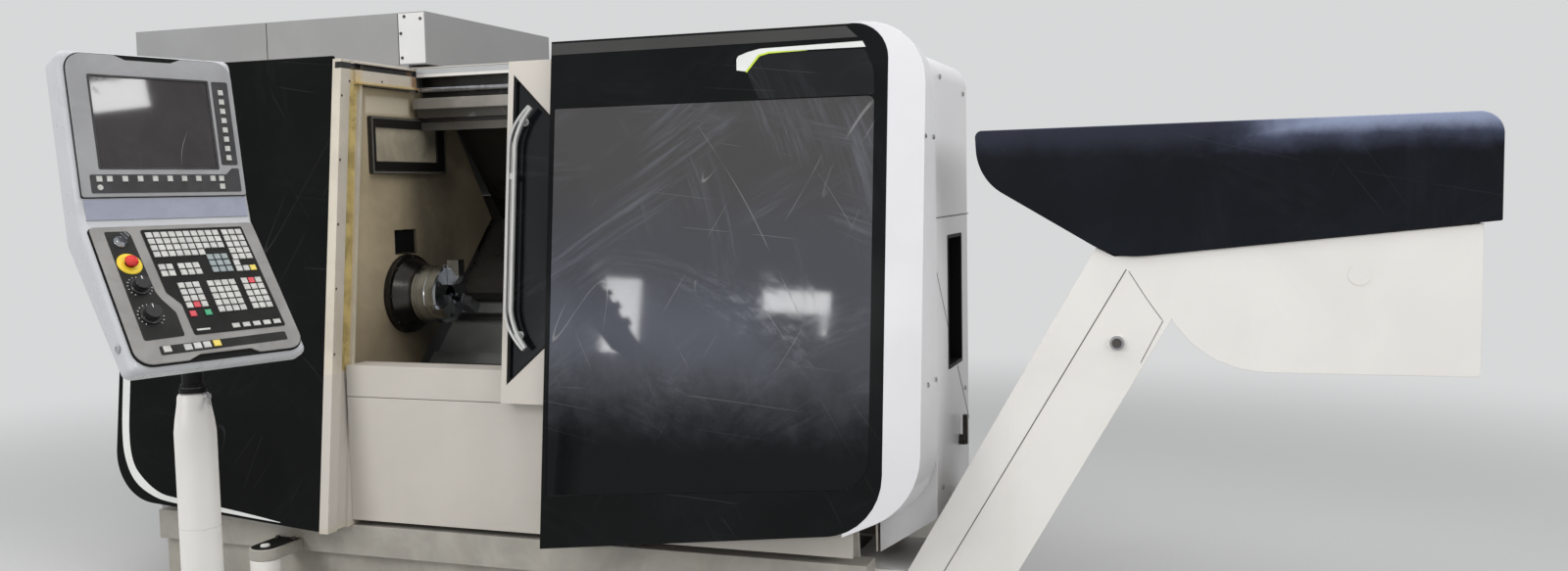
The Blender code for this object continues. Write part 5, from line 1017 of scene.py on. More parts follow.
@dataclass
class Studio:
    """Pale floor, soft lamps and the camera."""

    floor_reach: float = 42.0
    fade: Flat = (3.4, 7.5)
    backdrop: Rgb = (0.68, 0.685, 0.69)
    floor_colour: Rgb = (0.56, 0.56, 0.555)
    eye: Point = (2.902, -3.7, 1.45)
    right: Point = (0.9456, 0.3248, -0.0188)
    up: Point = (-0.0066, 0.0768, 0.997)
    back: Point = (0.3252, -0.9427, 0.0748)
    lens: float = 29.41
    fill: float = 0.5

    def build(self) -> None:
        """Set up the whole studio."""
        bpy.context.scene.view_settings.view_transform = "Standard"
        self.world()
        self.floor()
        self.lamps()
        self.camera()

    def world(self) -> None:
        """Even surroundings: the backdrop's colour to the eye, a softer fill for the light."""
        world = bpy.data.worlds.new("studio")
        bpy.context.scene.world = world
        world.use_nodes = True
        w = Wiring(world.node_tree)
        path = w.add("ShaderNodeLightPath").outputs
        seen = w.sum("MAXIMUM", w.sum("MAXIMUM", path["Is Camera Ray"], path["Is Glossy Ray"]),
                     path["Is Transmission Ray"])
        fill = (self.fill * 0.985, self.fill, self.fill * 1.02, 1)
        colour = w.mix(seen, fill, (*self.backdrop, 1))
        world.node_tree.nodes["Background"].inputs["Strength"].default_value = 1.0
        w.tree.links.new(colour, world.node_tree.nodes["Background"].inputs["Color"])

    def floor(self) -> None:
        """Round floor that fades into the backdrop far from the machine."""
        part = bmesh.new()
        bmesh.ops.create_circle(part, cap_ends=True, segments=96, radius=self.floor_reach)
        mesh = bpy.data.meshes.new("studio_floor")
        part.to_mesh(mesh)
        part.free()
        floor = bpy.data.objects.new("studio_floor", mesh)
        bpy.context.scene.collection.objects.link(floor)
        floor.location.z = -0.0005
        material = bpy.data.materials.new("studio_floor")
        material.use_nodes = True
        w = Wiring(material.node_tree)
        nodes = material.node_tree.nodes
        place = w.place()
        speckle = w.noise(place, 60.0, 5.0, 0.7)
        cloud = w.noise(place, 0.8, 4.0, 0.6)
        tone = w.sum("ADD", w.ramp(speckle, 0.3, 0.7, 0.0, 0.5), w.sum("MULTIPLY", cloud, 0.5))
        dark = tuple(c * 0.94 for c in self.floor_colour)
        colour = w.mix(tone, (*dark, 1), (*self.floor_colour, 1))
        shader = nodes["Principled BSDF"]
        shader.inputs["Roughness"].default_value = 0.55
        shader.inputs["Specular IOR Level"].default_value = 0.3
        w.tree.links.new(colour, shader.inputs["Base Color"])
        glow = w.add("ShaderNodeEmission", {"Color": (*self.backdrop, 1), "Strength": 1.0})
        far = w.add("ShaderNodeVectorMath", {0: place}, operation="LENGTH").outputs["Value"]
        path = w.add("ShaderNodeLightPath").outputs
        seen = w.sum("MAXIMUM", path["Is Camera Ray"], path["Is Glossy Ray"])
        fade = w.sum("MULTIPLY", w.ramp(far, self.fade[0], self.fade[1]), seen)
        both = w.add("ShaderNodeMixShader", {0: fade, 1: shader.outputs[0], 2: glow.outputs[0]})
        w.tree.links.new(both.outputs[0], nodes["Material Output"].inputs["Surface"])
        mesh.materials.append(material)

    def lamp(self, name: str, place: Point, aim: Point, size: Flat, watts: float,
             mirrored: bool) -> None:
        """Hang one rectangular soft lamp.

        Args:
            name: Name of the lamp.
            place: Where it hangs on the bench.
            aim: Point that it looks at.
            size: Width and height.
            watts: Its power.
            mirrored: Whether glossy surfaces show it.
        """
        data = bpy.data.lights.new(name, "AREA")
        data.shape = "RECTANGLE"
        data.size, data.size_y = size
        data.energy = watts
        lamp = bpy.data.objects.new(name, data)
        bpy.context.scene.collection.objects.link(lamp)
        spot = BENCH @ Vector(place)
        lamp.location = spot
        lamp.visible_glossy = mirrored
        lamp.rotation_mode = "QUATERNION"
        lamp.rotation_quaternion = (BENCH @ Vector(aim) - spot).to_track_quat("-Z", "Y")

    def lamps(self) -> None:
        """Hang the lamps: three soft ones that light the machine, and small ones that it mirrors."""
        for name, place, aim, size, watts, mirrored in (
                ("roof_light", (1.2, -0.6, 5.2), (1.0, 0.2, 0.6), (6.0, 4.0), 205, False),
                ("key_light", (-3.6, -5.2, 4.2), (0.8, 0.0, 1.0), (3.0, 2.4), 200, False),
                ("side_fill", (6.6, -2.6, 3.0), (1.6, 0.2, 1.1), (2.6, 2.6), 105, False),
                ("tall_window", (-1.558, -5.392, 1.692), (1.093, -0.047, 1.061), (0.287, 0.581), 19, True),
                ("wide_window", (-0.214, -5.686, 1.851), (1.68, -0.041, 1.109), (0.518, 0.173), 12, True),
                ("window_post", (-0.006, -5.746, 1.679), (1.766, -0.049, 1.04), (0.038, 0.158), 0.9,
                 True),
                ("chuck_light", (1.7, -2.6, 3.2), (0.1, 0.36, 1.1), (0.6, 0.14), 9, True),
                ("roof_window", (3.995, -0.455, 3.05), (0.3, -1.205, 1.716), (0.287, 0.161), 2.2,
                 True)):
            self.lamp(name, place, aim, size, watts, mirrored)

    def camera(self) -> None:
        """Place the camera where the photograph was taken from."""
        data = bpy.data.cameras.new("camera")
        data.sensor_width = 36.0
        data.lens = self.lens
        camera = bpy.data.objects.new("camera", data)
        bpy.context.scene.collection.objects.link(camera)
        axes = [Vector(v).normalized() for v in (self.right, self.up, self.back)]
        matrix = Matrix(axes).transposed().to_4x4()
        matrix.translation = BENCH @ Vector(self.eye)
        camera.matrix_world = matrix
        bpy.context.scene.camera = camera


@dataclass
class SubAssembly:
    """A group of pieces that are built together."""

    body: Body = Body.MACHINE
    pieces: list[Thing] = field(default_factory=list)

    def build(self) -> None:
        """Build and dress the pieces; each sub-assembly has its own way."""
        raise NotImplementedError

    def keep(self, piece: Piece, slot: str, paint: Paint, body: Optional[Body] = None,
             stands: bool = False) -> None:
        """Finish a piece and keep it.

        Args:
            piece: The piece.
            slot: Material slot of the record that it belongs to.
            paint: Its finish.
            body: Body that carries it, if not the sub-assembly's own.
            stands: Whether it stands for the CAD node of the slot's name.
        """
        replaced = [slot] if stands else []
        self.pieces.append(piece.finish(body or self.body, slot, paint, replaced))

    def refine(self, *rows: tuple) -> None:
        """Round the edges of CAD nodes and dress them, each as a piece that stands for its node.

        Args:
            *rows: Node, finish, width and steps of the rounding, and where they aren't the usual
                ones the angle from which edges are rounded, and the body.
        """
        usual = (30.0, self.body)
        for row in rows:
            node, paint, width, steps, angle, body = row + usual[len(row) - 4:]
            part = bmesh.new()
            part.from_mesh(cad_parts[node].data)
            bmesh.ops.remove_doubles(part, verts=part.verts, dist=0.00002)
            bmesh.ops.dissolve_limit(part, angle_limit=math.radians(0.6), verts=part.verts,
                                     edges=part.edges)
            piece = Piece(node + "_finished").absorb(part, BENCH.inverted(), width, steps, angle)
            self.keep(piece, node, paint, body, True)

    def foil(self, name: str, outlines: Sequence[Sequence[Flat]], matrix: Matrix, slot: str,
             paint: Paint, thick: float = FOIL) -> None:
        """Lay flat inlays on a face.

        Args:
            name: Name of the piece.
            outlines: Outline of each inlay.
            matrix: Frame on the face.
            slot: Material slot.
            paint: Finish.
            thick: How far they stand off the face.
        """
        piece = Piece(name)
        for outline in outlines:
            piece.prism(outline, thick, matrix @ lift(LAID))
        self.keep(piece, slot, paint)

    def screws(self, name: str, places: Iterable[Matrix], radius: float, height: float, slot: str,
               paint: Paint, head: Head = Head.PAN) -> None:
        """Set a group of screw heads.

        Args:
            name: Name of the piece.
            places: Frame of each head on the face that it bears on.
            radius: Radius of the heads.
            height: Height of the heads.
            slot: Material slot.
            paint: Finish.
            head: Kind of head.
        """
        piece = Piece(name)
        for place in places:
            piece.screw(place @ lift(LAID), radius, height, head)
        self.keep(piece, slot, paint)


@dataclass
class ControlPanel(SubAssembly):
    """Bent control panel: housing, screen, keys and switches."""

    body: Body = Body.PANEL
    centre: Point = (0.331, -1.124, 1.646)
    yaw: float = math.radians(73.0)
    tilt: float = math.radians(8.6)
    desk_tilt: float = math.radians(27.0)
    mid_x: float = 0.01
    width: float = 0.45
    top: float = 0.182
    bend_top: float = -0.19
    bend: float = -0.256
    depth: float = 0.085
    desk_length: float = 0.415
    desk_top: float = -0.01
    desk_bottom: float = -0.402
    rim: float = 0.013
    flare_left: float = 0.0146
    draw_right: float = 0.007
    screen: Flat = (0.304, 0.228)
    bezel_thick: float = 0.006
    plate_lift: float = 0.0043
    plate_thick: float = 0.005
    key: float = 0.0158
    pitch: float = 0.0193
    soft_key: float = 0.0138
    command_key: Flat = (0.0185, 0.0165)
    stem: Point = (0.026, 0.9703, 1.285)
    row_keys: tuple[float, ...] = (-0.169, -0.144, -0.106, -0.068, -0.03, 0.008, 0.046, 0.084, 0.123,
                                   0.147)
    blocks: tuple[tuple[int, int, float, float], ...] = (
        (10, 3, -0.078, -0.042), (7, 1, -0.078, -0.1), (3, 5, 0.121, -0.042), (2, 2, -0.079, -0.138),
        (3, 2, -0.03, -0.138), (1, 1, 0.118, -0.138), (2, 1, 0.118, -0.156), (3, 4, -0.051, -0.195),
        (4, 5, 0.025, -0.195), (3, 5, 0.117, -0.194))
    red_keys: tuple[Flat, ...] = ((-0.0317, -0.2529), (0.1363, -0.194))

    def upper(self) -> Matrix:
        """Frame of the screen plane: x to the right, y up, z to the operator."""
        turn = Matrix.Rotation(self.yaw, 4, "Z") @ Matrix.Rotation(-self.tilt, 4, "X")
        return shift(*self.centre) @ turn @ frame_at((self.mid_x, 0, 0), (1, 0, 0), (0, 0, 1))

    def desk(self) -> Matrix:
        """Frame of the keyboard plane, hinged forward at the bend."""
        return self.upper() @ shift(0, self.bend) @ Matrix.Rotation(-self.desk_tilt, 4, "X")

    def face(self) -> Matrix:
        """Frame on the desk plate's outer face."""
        return self.desk() @ lift(self.plate_lift + self.plate_thick)

    def build(self) -> None:
        """Build the whole panel."""
        self.housing()
        self.gaps()
        self.screen_side()
        self.desk_plate()
        self.keyboard()
        self.switches()

    def housing(self) -> None:
        """Bent housing, a little wider at the operator's end, with its stem and side cap."""
        low_y = -self.desk_length * math.cos(self.desk_tilt)
        low_z = self.desk_length * math.sin(self.desk_tilt)
        side = [(self.top, 0), (self.bend_top, 0), (self.bend, 0.004), (self.bend + low_y, low_z),
                (self.bend + low_y - 0.02, low_z - self.depth * 0.75),
                (self.bend - 0.04, -self.depth), (self.top - 0.02, -self.depth)]
        part = bmesh.new()
        rings = []
        for x in (-self.width / 2, self.width / 2):
            spread = self.flare_left if x < 0 else self.draw_right
            rings.append([part.verts.new((x - spread * max(0.0, (self.bend - y) / -low_y), y, z))
                          for y, z in side])
        part.faces.new(rings[0])
        part.faces.new(rings[1][::-1])
        join_rings(part, rings)
        self.keep(Piece("panel_housing_shell").absorb(part, self.upper(), 0.022, 6, 50),
                  "panel_housing", Paint.HOUSING, stands=True)
        radius, low, high = self.stem
        profile = [(0, high), (radius, high), (radius, low + 0.012), (radius + 0.004, low + 0.008),
                   (radius + 0.004, low), (0, low)]
        self.keep(Piece("panel_stem").turned(profile, shift(*POST), 40), "panel_housing", Paint.RUBBER)
        profile = [(0, 0.0006), (0.0062, 0.0008), (0.0074, 0.0022), (0.0096, 0.002), (0.0104, 0.0008),
                   (0.0104, -0.0006), (0, -0.0006)]
        place = self.upper() @ frame_at((-0.2384, -0.5643, 0.128), (0, 0, 1), (0, 1, 0))
        self.keep(Piece("side_cap").turned(profile, place, 28), "panel_housing", Paint.BEZEL)

    def gaps(self) -> None:
        """Black gaps that show round the bezel and round the desk plate."""
        half = self.width / 2 - self.rim + 0.003
        low, high = self.bend_top + 0.001, self.top - 0.0105
        gap = Piece("bezel_gaps")
        gap.prism(fillet([(-half, low, 0.006), (half, low, 0.006), (half, high, 0.044),
                          (-half, high, 0.044)], 8), 0.0002, self.upper() @ lift(0.00006))
        low = self.desk_bottom - 0.0034
        gap.prism(fillet([*self.desk_foot(half, low, 0.043), (half, self.desk_top, 0.012),
                          (-half, self.desk_top, 0.012)], 8), 0.0034, self.desk() @ lift(0.0006))
        self.keep(gap, "panel_housing", Paint.RUBBER)

    def desk_foot(self, half: float, low: float, radius: float) -> list[Point]:
        """Lower corners of the desk plate, which follow the housing's flare.

        Args:
            half: Half the plate's width.
            low: Height of the corners on the desk plane.
            radius: Their rounding.

        Returns:
            The left and the right corner.
        """
        reach = -self.desk_bottom / self.desk_length
        return [(-half - self.flare_left * reach, low, radius),
                (half - self.draw_right * reach, low, radius)]

    def screen_side(self) -> None:
        """Bezel with its notch, screen, key strips and soft keys."""
        upper = self.upper()
        half = self.width / 2 - self.rim
        low, high = self.bend_top + 0.004, self.top - 0.013
        notch = [(0.078, high, 0.006), (0.05, high - 0.011, 0.006), (-0.066, high - 0.011, 0.006),
                 (-0.094, high, 0.006)]
        outline = fillet([(-half, low, 0.006), (half, low, 0.006), (half, high, 0.042), *notch,
                          (-half, high, 0.042)], 8)
        wide, tall = self.screen[0] / 2, self.screen[1] / 2
        span = (-self.mid_x - wide, -self.mid_x + wide), (-tall, tall)
        piece = Piece("screen_bezel_plate").prism(outline, self.bezel_thick, upper @ lift(LAID), 0.0014,
                                                  3, [grown(*span, 0, 0.003)])
        self.keep(piece, "screen_bezel", Paint.BEZEL, stands=True)
        face = upper @ lift(self.bezel_thick + LAID)
        trim = Piece("screen_trim").prism(grown(*span, 0.004, 0.004), 0.0009, face @ lift(LAID), 0.0003,
                                          2, [grown(*span, -0.001, 0.002)])
        self.keep(trim, "screen_bezel", Paint.SOFT_STRIP)
        glass = Piece("screen_glass").prism(grown(*span, -0.0006, 0.002), 0.0032, upper @ lift(0.0012),
                                            0.0005, 2)
        self.keep(glass, "screen", Paint.SCREEN, stands=True)
        right = fillet([(0.154, -0.106, 0.004), (0.199, -0.106, 0.004), (0.199, 0.116, 0.004),
                        (0.154, 0.116, 0.004)], 4)
        row = fillet([(-0.19, -0.177, 0.004), (0.2, -0.177, 0.004), (0.2, -0.115, 0.004),
                      (0.18, -0.115, 0.006), (0.163, -0.131, 0.006), (-0.19, -0.131, 0.004)], 4)
        self.foil("soft_key_strips", (right, row), face, "screen_bezel", Paint.SOFT_STRIP, 0.0006)
        keys = Piece("soft_keys")
        cells = [(0.1755, (3.5 - k) * 0.0249) for k in range(8)]
        cells += [(x, -0.142) for x in self.row_keys] + [(self.row_keys[-1], -0.163)]
        for x, y in cells:
            self.cap(keys, x, y, face, (self.soft_key, self.soft_key), 0.0034)
        keys.turned([(0, 0.003), (0.0062, 0.0031), (0.007, 0.0022), (0.007, 0), (0, 0)],
                    face @ shift(self.row_keys[0], -0.163, 0.0008), 20)
        self.keep(keys, "screen_bezel", Paint.KEY)
        path = [(-0.1915, 0.0004), (-0.232, 0.0028), (-0.243, 0.0038), (-0.243, 0.0048),
                (-0.232, 0.004), (-0.1915, 0.0018)]
        place = upper @ frame_at((-half + 0.002, 0, 0.0004), (0, 1, 0), (0, 0, 1))
        self.keep(Piece("bend_strip").prism(path, half * 2 - 0.004, place, 0.0003, 1), "panel_housing",
                  Paint.LIP)

    def cap(self, piece: Piece, x: float, y: float, face: Matrix, size: Optional[Flat] = None,
            height: float = 0.003) -> None:
        """Add one dished key cap to a piece.

        Args:
            piece: Piece that takes the cap.
            x: Place to the right.
            y: Place up the plate.
            face: Frame on the plate.
            size: Width of the cap and its size up the plate; by default a key of the keyboard.
            height: Height of the cap.
        """
        width, depth = size or (self.key, self.key)
        part = bmesh.new()
        rings = []
        for z, share in ((0.0, 1.0), (height * 0.72, 1.0), (height, 0.86), (height * 0.86, 0.66)):
            w, d = width * share / 2, depth * share / 2
            rings.append([part.verts.new(p) for p in ((-w, -d, z), (w, -d, z), (w, d, z), (-w, d, z))])
        join_rings(part, rings)
        part.faces.new(rings[0][::-1])
        part.faces.new(rings[-1])
        piece.absorb(part, face @ shift(x, y, 0.0008))

    def desk_plate(self) -> None:
        """Desk plate with its notch, switch column, command strip and keys."""
        half = self.width / 2 - self.rim
        low = self.desk_bottom
        left, right = self.desk_foot(half, low, 0.04)
        outline = fillet([left, (-0.103, low, 0.005), (-0.072, low + 0.013, 0.005),
                          (0.06, low + 0.013, 0.005), (0.081, low, 0.005), right,
                          (half, self.desk_top, 0.012), (-half, self.desk_top, 0.012)], 8)
        plate = Piece("desk_plate").prism(outline, self.plate_thick, self.desk() @ lift(self.plate_lift),
                                          0.0014, 3)
        self.keep(plate, "desk_bezel", Paint.DESK, stands=True)
        column = fillet([(-0.191, -0.338, 0.006), (-0.091, -0.335, 0.006), (-0.089, -0.268, 0.008),
                         (-0.111, -0.227, 0.01), (-0.118, -0.205, 0.01), (-0.12, -0.038, 0.004),
                         (-0.126, -0.026, 0.004), (-0.181, -0.025, 0.005)], 4)
        strip = fillet([(-0.165, -0.381, 0.004), (0.166, -0.377, 0.004), (0.167, -0.353, 0.004),
                        (-0.163, -0.357, 0.004)], 4)
        face = self.face()
        self.foil("switch_column", (column, strip), face, "desk_bezel", Paint.COLUMN, 0.0006)
        keys = Piece("command_keys")
        for x, y in ((-0.147, -0.367), (-0.096, -0.368), (-0.072, -0.367), (-0.048, -0.367)):
            self.cap(keys, x, y, face, self.command_key, 0.0038)
        self.keep(keys, "desk_bezel", Paint.KEY)
        yellow = Piece("command_key_yellow")
        self.cap(yellow, -0.022, -0.366, face, self.command_key, 0.0038)
        self.cap(yellow, 0.1566, -0.156, face @ lift(0.0022))
        self.keep(yellow, "desk_bezel", Paint.KEY_YELLOW)

    def keyboard(self) -> None:
        """Black key field with its blocks of keys."""
        outline = fillet([(-0.067, -0.336, 0.005), (0.176, -0.336, 0.005), (0.176, -0.024, 0.005),
                          (-0.093, -0.024, 0.005), (-0.093, -0.209, 0.01), (-0.067, -0.246, 0.01)], 5)
        field_thick = 0.0022
        plate = Piece("key_field").prism(outline, field_thick, self.face() @ lift(LAID), 0.0006, 2)
        self.keep(plate, "keypad", Paint.KEY_FIELD, stands=True)
        top = self.face() @ lift(field_thick)
        white, red, grey = Piece("white_keys"), Piece("red_keys"), Piece("grey_keys")
        for columns, rows, x0, y0 in self.blocks:
            for row in range(rows):
                for column in range(columns):
                    x, y = x0 + column * self.pitch, y0 - row * self.pitch
                    near = any(abs(x - rx) + abs(y - ry) < 0.004 for rx, ry in self.red_keys)
                    self.cap(red if near else white, x, y, top)
        for k in range(5):
            self.cap(white, 0.044 + k * 0.028, -0.323, top, (0.019, 0.0125))
        white.prism(rect(-0.058, -0.024, -0.326, -0.321, 0.001), 0.0006, top @ lift(LAID))
        for row in range(3):
            for column in range(3):
                self.cap(grey, 0.054 + column * self.pitch, -0.116 - row * self.pitch, top)
        self.keep(white, "keypad", Paint.KEY)
        self.keep(red, "keypad", Paint.KEY_RED)
        self.keep(grey, "keypad", Paint.KEY_GREY)
        for body, name, x, paint in ((Body.STOP, "cycle_stop", -0.051, Paint.KEY_RED),
                                     (Body.START, "cycle_start", -0.012, Paint.KEY_GREEN)):
            piece = Piece(name + "_cap")
            self.cap(piece, x, -0.278, top, height=0.0034)
            self.keep(piece, name + "_key", paint, body, True)

    def switches(self) -> None:
        """Key switch, emergency stop and the two override knobs."""
        face = self.face()
        lock = face @ shift(-0.152, -0.056, LAID)
        turned = Matrix.Rotation(0.5, 4, "Z")
        barrel = Piece("key_switch_barrel")
        barrel.turned([(0, 0.011), (0.008, 0.011), (0.0092, 0.01), (0.0105, 0.0085), (0.0125, 0.008),
                       (0.0145, 0.006), (0.0165, 0.0045), (0.0175, 0.002), (0.0175, 0), (0, 0)], lock, 40)
        barrel.prism(rect(-0.0014, 0.0014, -0.011, 0.011, 0.0008), 0.014, lock @ lift(0.0105) @ turned,
                     0.0005, 2)
        barrel.prism(fillet([(-0.009, -0.004, 0.003), (0.009, -0.004, 0.003), (0.009, 0.008, 0.003),
                             (-0.009, 0.008, 0.003)], 4), 0.003,
                     lock @ turned @ frame_at((0.0015, 0.0, 0.0265), (0, 1, 0), (0, 0, 1)), 0.0008, 2)
        self.keep(barrel, "key_switch", Paint.JAW, Body.LOCK, True)
        stop = face @ shift(-0.152, -0.122, LAID)
        ring = [(0.0125, 0.004), (0.022, 0.0042), (0.0285, 0.0034), (0.03, 0.0015), (0.03, 0.0),
                (0.0125, 0.0), (0.0125, 0.004)]
        self.keep(Piece("emergency_stop_collar").turned(ring, stop, 56), "desk_bezel", Paint.YELLOW)
        mushroom = [(0, 0.0235), (0.006, 0.0233), (0.0105, 0.0222), (0.014, 0.0198), (0.0156, 0.0168),
                    (0.0158, 0.0142), (0.014, 0.0116), (0.0112, 0.0102), (0.0108, 0.0056), (0, 0.0056)]
        self.keep(Piece("emergency_stop_mushroom").turned(mushroom, stop, 48), "emergency_stop",
                  Paint.RED, Body.ESTOP, True)
        for body, slot, x, y, radius in ((Body.SPEED, "spindle_override", -0.15, -0.188, 0.024),
                                         (Body.FEED, "feed_override", -0.152, -0.27, 0.026)):
            self.knob(body, slot, face @ shift(x, y, 0.0012), radius)

    def knob(self, body: Body, slot: str, place: Matrix, radius: float) -> None:
        """Build one fluted knob with its pointer, and the tick ring round it.

        Args:
            body: Body that the knob turns with.
            slot: Material slot and node of the knob.
            place: Frame on the desk plate.
            radius: Radius of the knob's skirt.
        """
        skirt = [(0, 0.006), (radius * 0.86, 0.0058), (radius * 0.97, 0.0045), (radius, 0.003),
                 (radius, 0.0), (0, 0.0)]
        grip = []
        for k in range(96):
            angle = math.tau * k / 96
            r = radius * (0.74 + 0.022 * math.cos(angle * 16))
            grip.append((r * math.cos(angle), r * math.sin(angle)))
        piece = Piece(slot + "_knob").turned(skirt, place, 56)
        piece.prism(grip, 0.0175, place @ lift(0.0055), 0.0018, 3, angle=50)
        self.keep(piece, slot, Paint.KNOB, body, True)
        pointer = Piece(slot + "_pointer")
        pointer.prism(rect(-0.0008, 0.0008, radius * 0.3, radius * 0.7, 0.0004), 0.0003,
                      place @ lift(0.02335))
        self.keep(pointer, slot, Paint.MARK, body)
        ticks = Piece(slot + "_ticks")
        for k in range(15):
            turn = Matrix.Rotation(math.radians(-140 + 20 * k), 4, "Z")
            ticks.prism(rect(-0.0006, 0.0006, radius + 0.0022, radius + 0.0058, 0.0002), 0.0004,
                        place @ lift(-0.0002) @ turn)
        self.keep(ticks, "desk_bezel", Paint.MARK)


@dataclass
class SwingArm(SubAssembly):
    """Swing arm: low tube, upright post with its neck, and the clamp lever."""

    pivot: Flat = (-0.27, -0.13)
    arm_z: float = 0.11
    arm_radius: float = 0.045
    post_radius: float = 0.051
    post_top: float = 0.925
    neck: float = 0.028
    bracket_z: Flat = (0.196, 0.236)

    def build(self) -> None:
        """Build the arm, its bracket and the clamp."""
        self.arm()
        self.bracket()

    def arm(self) -> None:
        """Low tube with its hub, the post and the black collar round the neck."""
        low = self.arm_z - self.arm_radius - 0.006
        arm = Piece("swing_arm_tube").tube([(*self.pivot, self.arm_z), (*POST, self.arm_z)],
                                           self.arm_radius, 36)
        arm.turned([(0, 0.244), (0.0145, 0.244), (0.016, 0.2425), (0.016, 0.1954), (0.05, 0.1954),
                    (0.052, 0.1934), (0.052, low + 0.002), (0.05, low), (0, low)], shift(*self.pivot),
                   40)
        top, radius, neck, z = self.post_top, self.post_radius, self.neck, self.arm_z
        foot = radius + 0.004
        arm.turned([(0, top + 0.045), (neck - 0.002, top + 0.045), (neck, top + 0.043),
                    (neck, top + 0.03), (neck + 0.008, top + 0.028), (neck + 0.011, top + 0.022),
                    (radius - 0.01, top), (radius - 0.004, top - 0.036), (radius, top - 0.07),
                    (radius, 0.606), (radius - 0.0012, 0.605), (radius - 0.0012, 0.602), (radius, 0.601),
                    (radius, z + 0.064), (radius + 0.002, z + 0.058), (foot, z + 0.054), (foot, low),
                    (0, low)], shift(*POST), 56)
        self.keep(arm, "control_arm", Paint.CONVEYOR, Body.ARM, True)
        collar = [(0.0004, 0.044), (0.005, 0.0435), (0.006, 0.041), (0.006, 0.033), (0.005, 0.0315),
                  (0.0004, 0.031), (0.0004, 0.044)]
        self.keep(Piece("neck_collar").turned([(neck + r, top + h) for r, h in collar], shift(*POST), 48),
                  "control_arm", Paint.RUBBER, Body.ARM)

    def bore(self, radius: float) -> list[Flat]:
        """Outline of a bore round the pivot."""
        return round_outline(radius, 32, *self.pivot)

    def plate(self, half: float, back: float, front: float, radii: Flat) -> list[Flat]:
        """Outline of a bracket plate round the pivot.

        Args:
            half: Half its width.
            back: Where its rear edge lies.
            front: How far it reaches to the front of the pivot.
            radii: Rounding of its rear and its front corners.

        Returns:
            The outline.
        """
        (x, y), (rear, nose) = self.pivot, radii
        return fillet([(x - half, back, rear), (x - half, y - front, nose), (x + half, y - front, nose),
                       (x + half, back, rear)], 10)

    def bracket(self) -> None:
        """Bracket on the base with its dark inlay and screws, and the clamp lever."""
        px = self.pivot[0]
        low, high = self.bracket_z
        plate = Piece("arm_bracket_plate").prism(self.plate(0.055, -0.0003, 0.05, (0, 0.05)), high - low,
                                                 lift(low), 0.003, 3, [self.bore(0.0166)])
        self.keep(plate, "arm_bracket", Paint.BASE, stands=True)
        self.refine(("clamp_lever", Paint.GRIP, 0.0012, 2, 30.0, Body.CLAMP))
        inlay = Piece("bracket_top_plate").prism(self.plate(0.048, -0.008, 0.043, (0.004, 0.044)), 0.0012,
                                                 lift(high + LAID), 0.0004, 1, [self.bore(0.0172)])
        self.keep(inlay, "arm_bracket", Paint.RUBBER)
        places = [lift(high + 0.0013) @ shift(px + dx, -0.026) for dx in (-0.034, 0.034)]
        self.screws("bracket_screws", places, 0.009, 0.008, "arm_bracket", Paint.SCREW, Head.SOCKET)


@dataclass
class LeftFront(SubAssembly):
    """Left black front with its white line, and the cover behind it."""

    x0: float = -0.944
    x1: float = -0.0363
    low_z: float = 0.304
    shoulder_z: float = 0.372
    top_z: float = 1.944
    thick: float = 0.014

    def build(self) -> None:
        """Build the panel."""
        up = FRONT.up
        outline = fillet([(self.x1, up(self.low_z), 0), (self.x1, up(self.top_z), 0),
                          (self.x0, up(self.top_z), 0.11), (self.x0, up(self.shoulder_z), 0.19)], 18)
        panel = Piece("left_black_panel").prism(outline, self.thick, FRONT.frame(-self.thick), 0.003, 3)
        self.keep(panel, "left_front_panel", Paint.BLACK, stands=True)
        outer = [(-0.924, 1.3), (-0.9235, 0.95), (-0.923, 0.808), (-0.918, 0.612), (-0.896, 0.506),
                 (-0.844, 0.429), (-0.754, 0.382), (-0.651, 0.364), (-0.482, 0.349), (-0.309, 0.334),
                 (-0.199, 0.326)]
        inner = [(-0.199, 0.3275), (-0.31, 0.344), (-0.477, 0.365), (-0.652, 0.383), (-0.738, 0.4),
                 (-0.816, 0.448), (-0.864, 0.508), (-0.886, 0.613), (-0.889, 0.795), (-0.8892, 0.95),
                 (-0.889, 1.2)]
        line = on_front(smooth(outer) + smooth(inner))
        self.foil("left_white_line", [line], FRONT.frame(), "left_front_panel", Paint.STRIPE)
        self.refine(("left_end_cover", Paint.CREAM, 0.0012, 2))


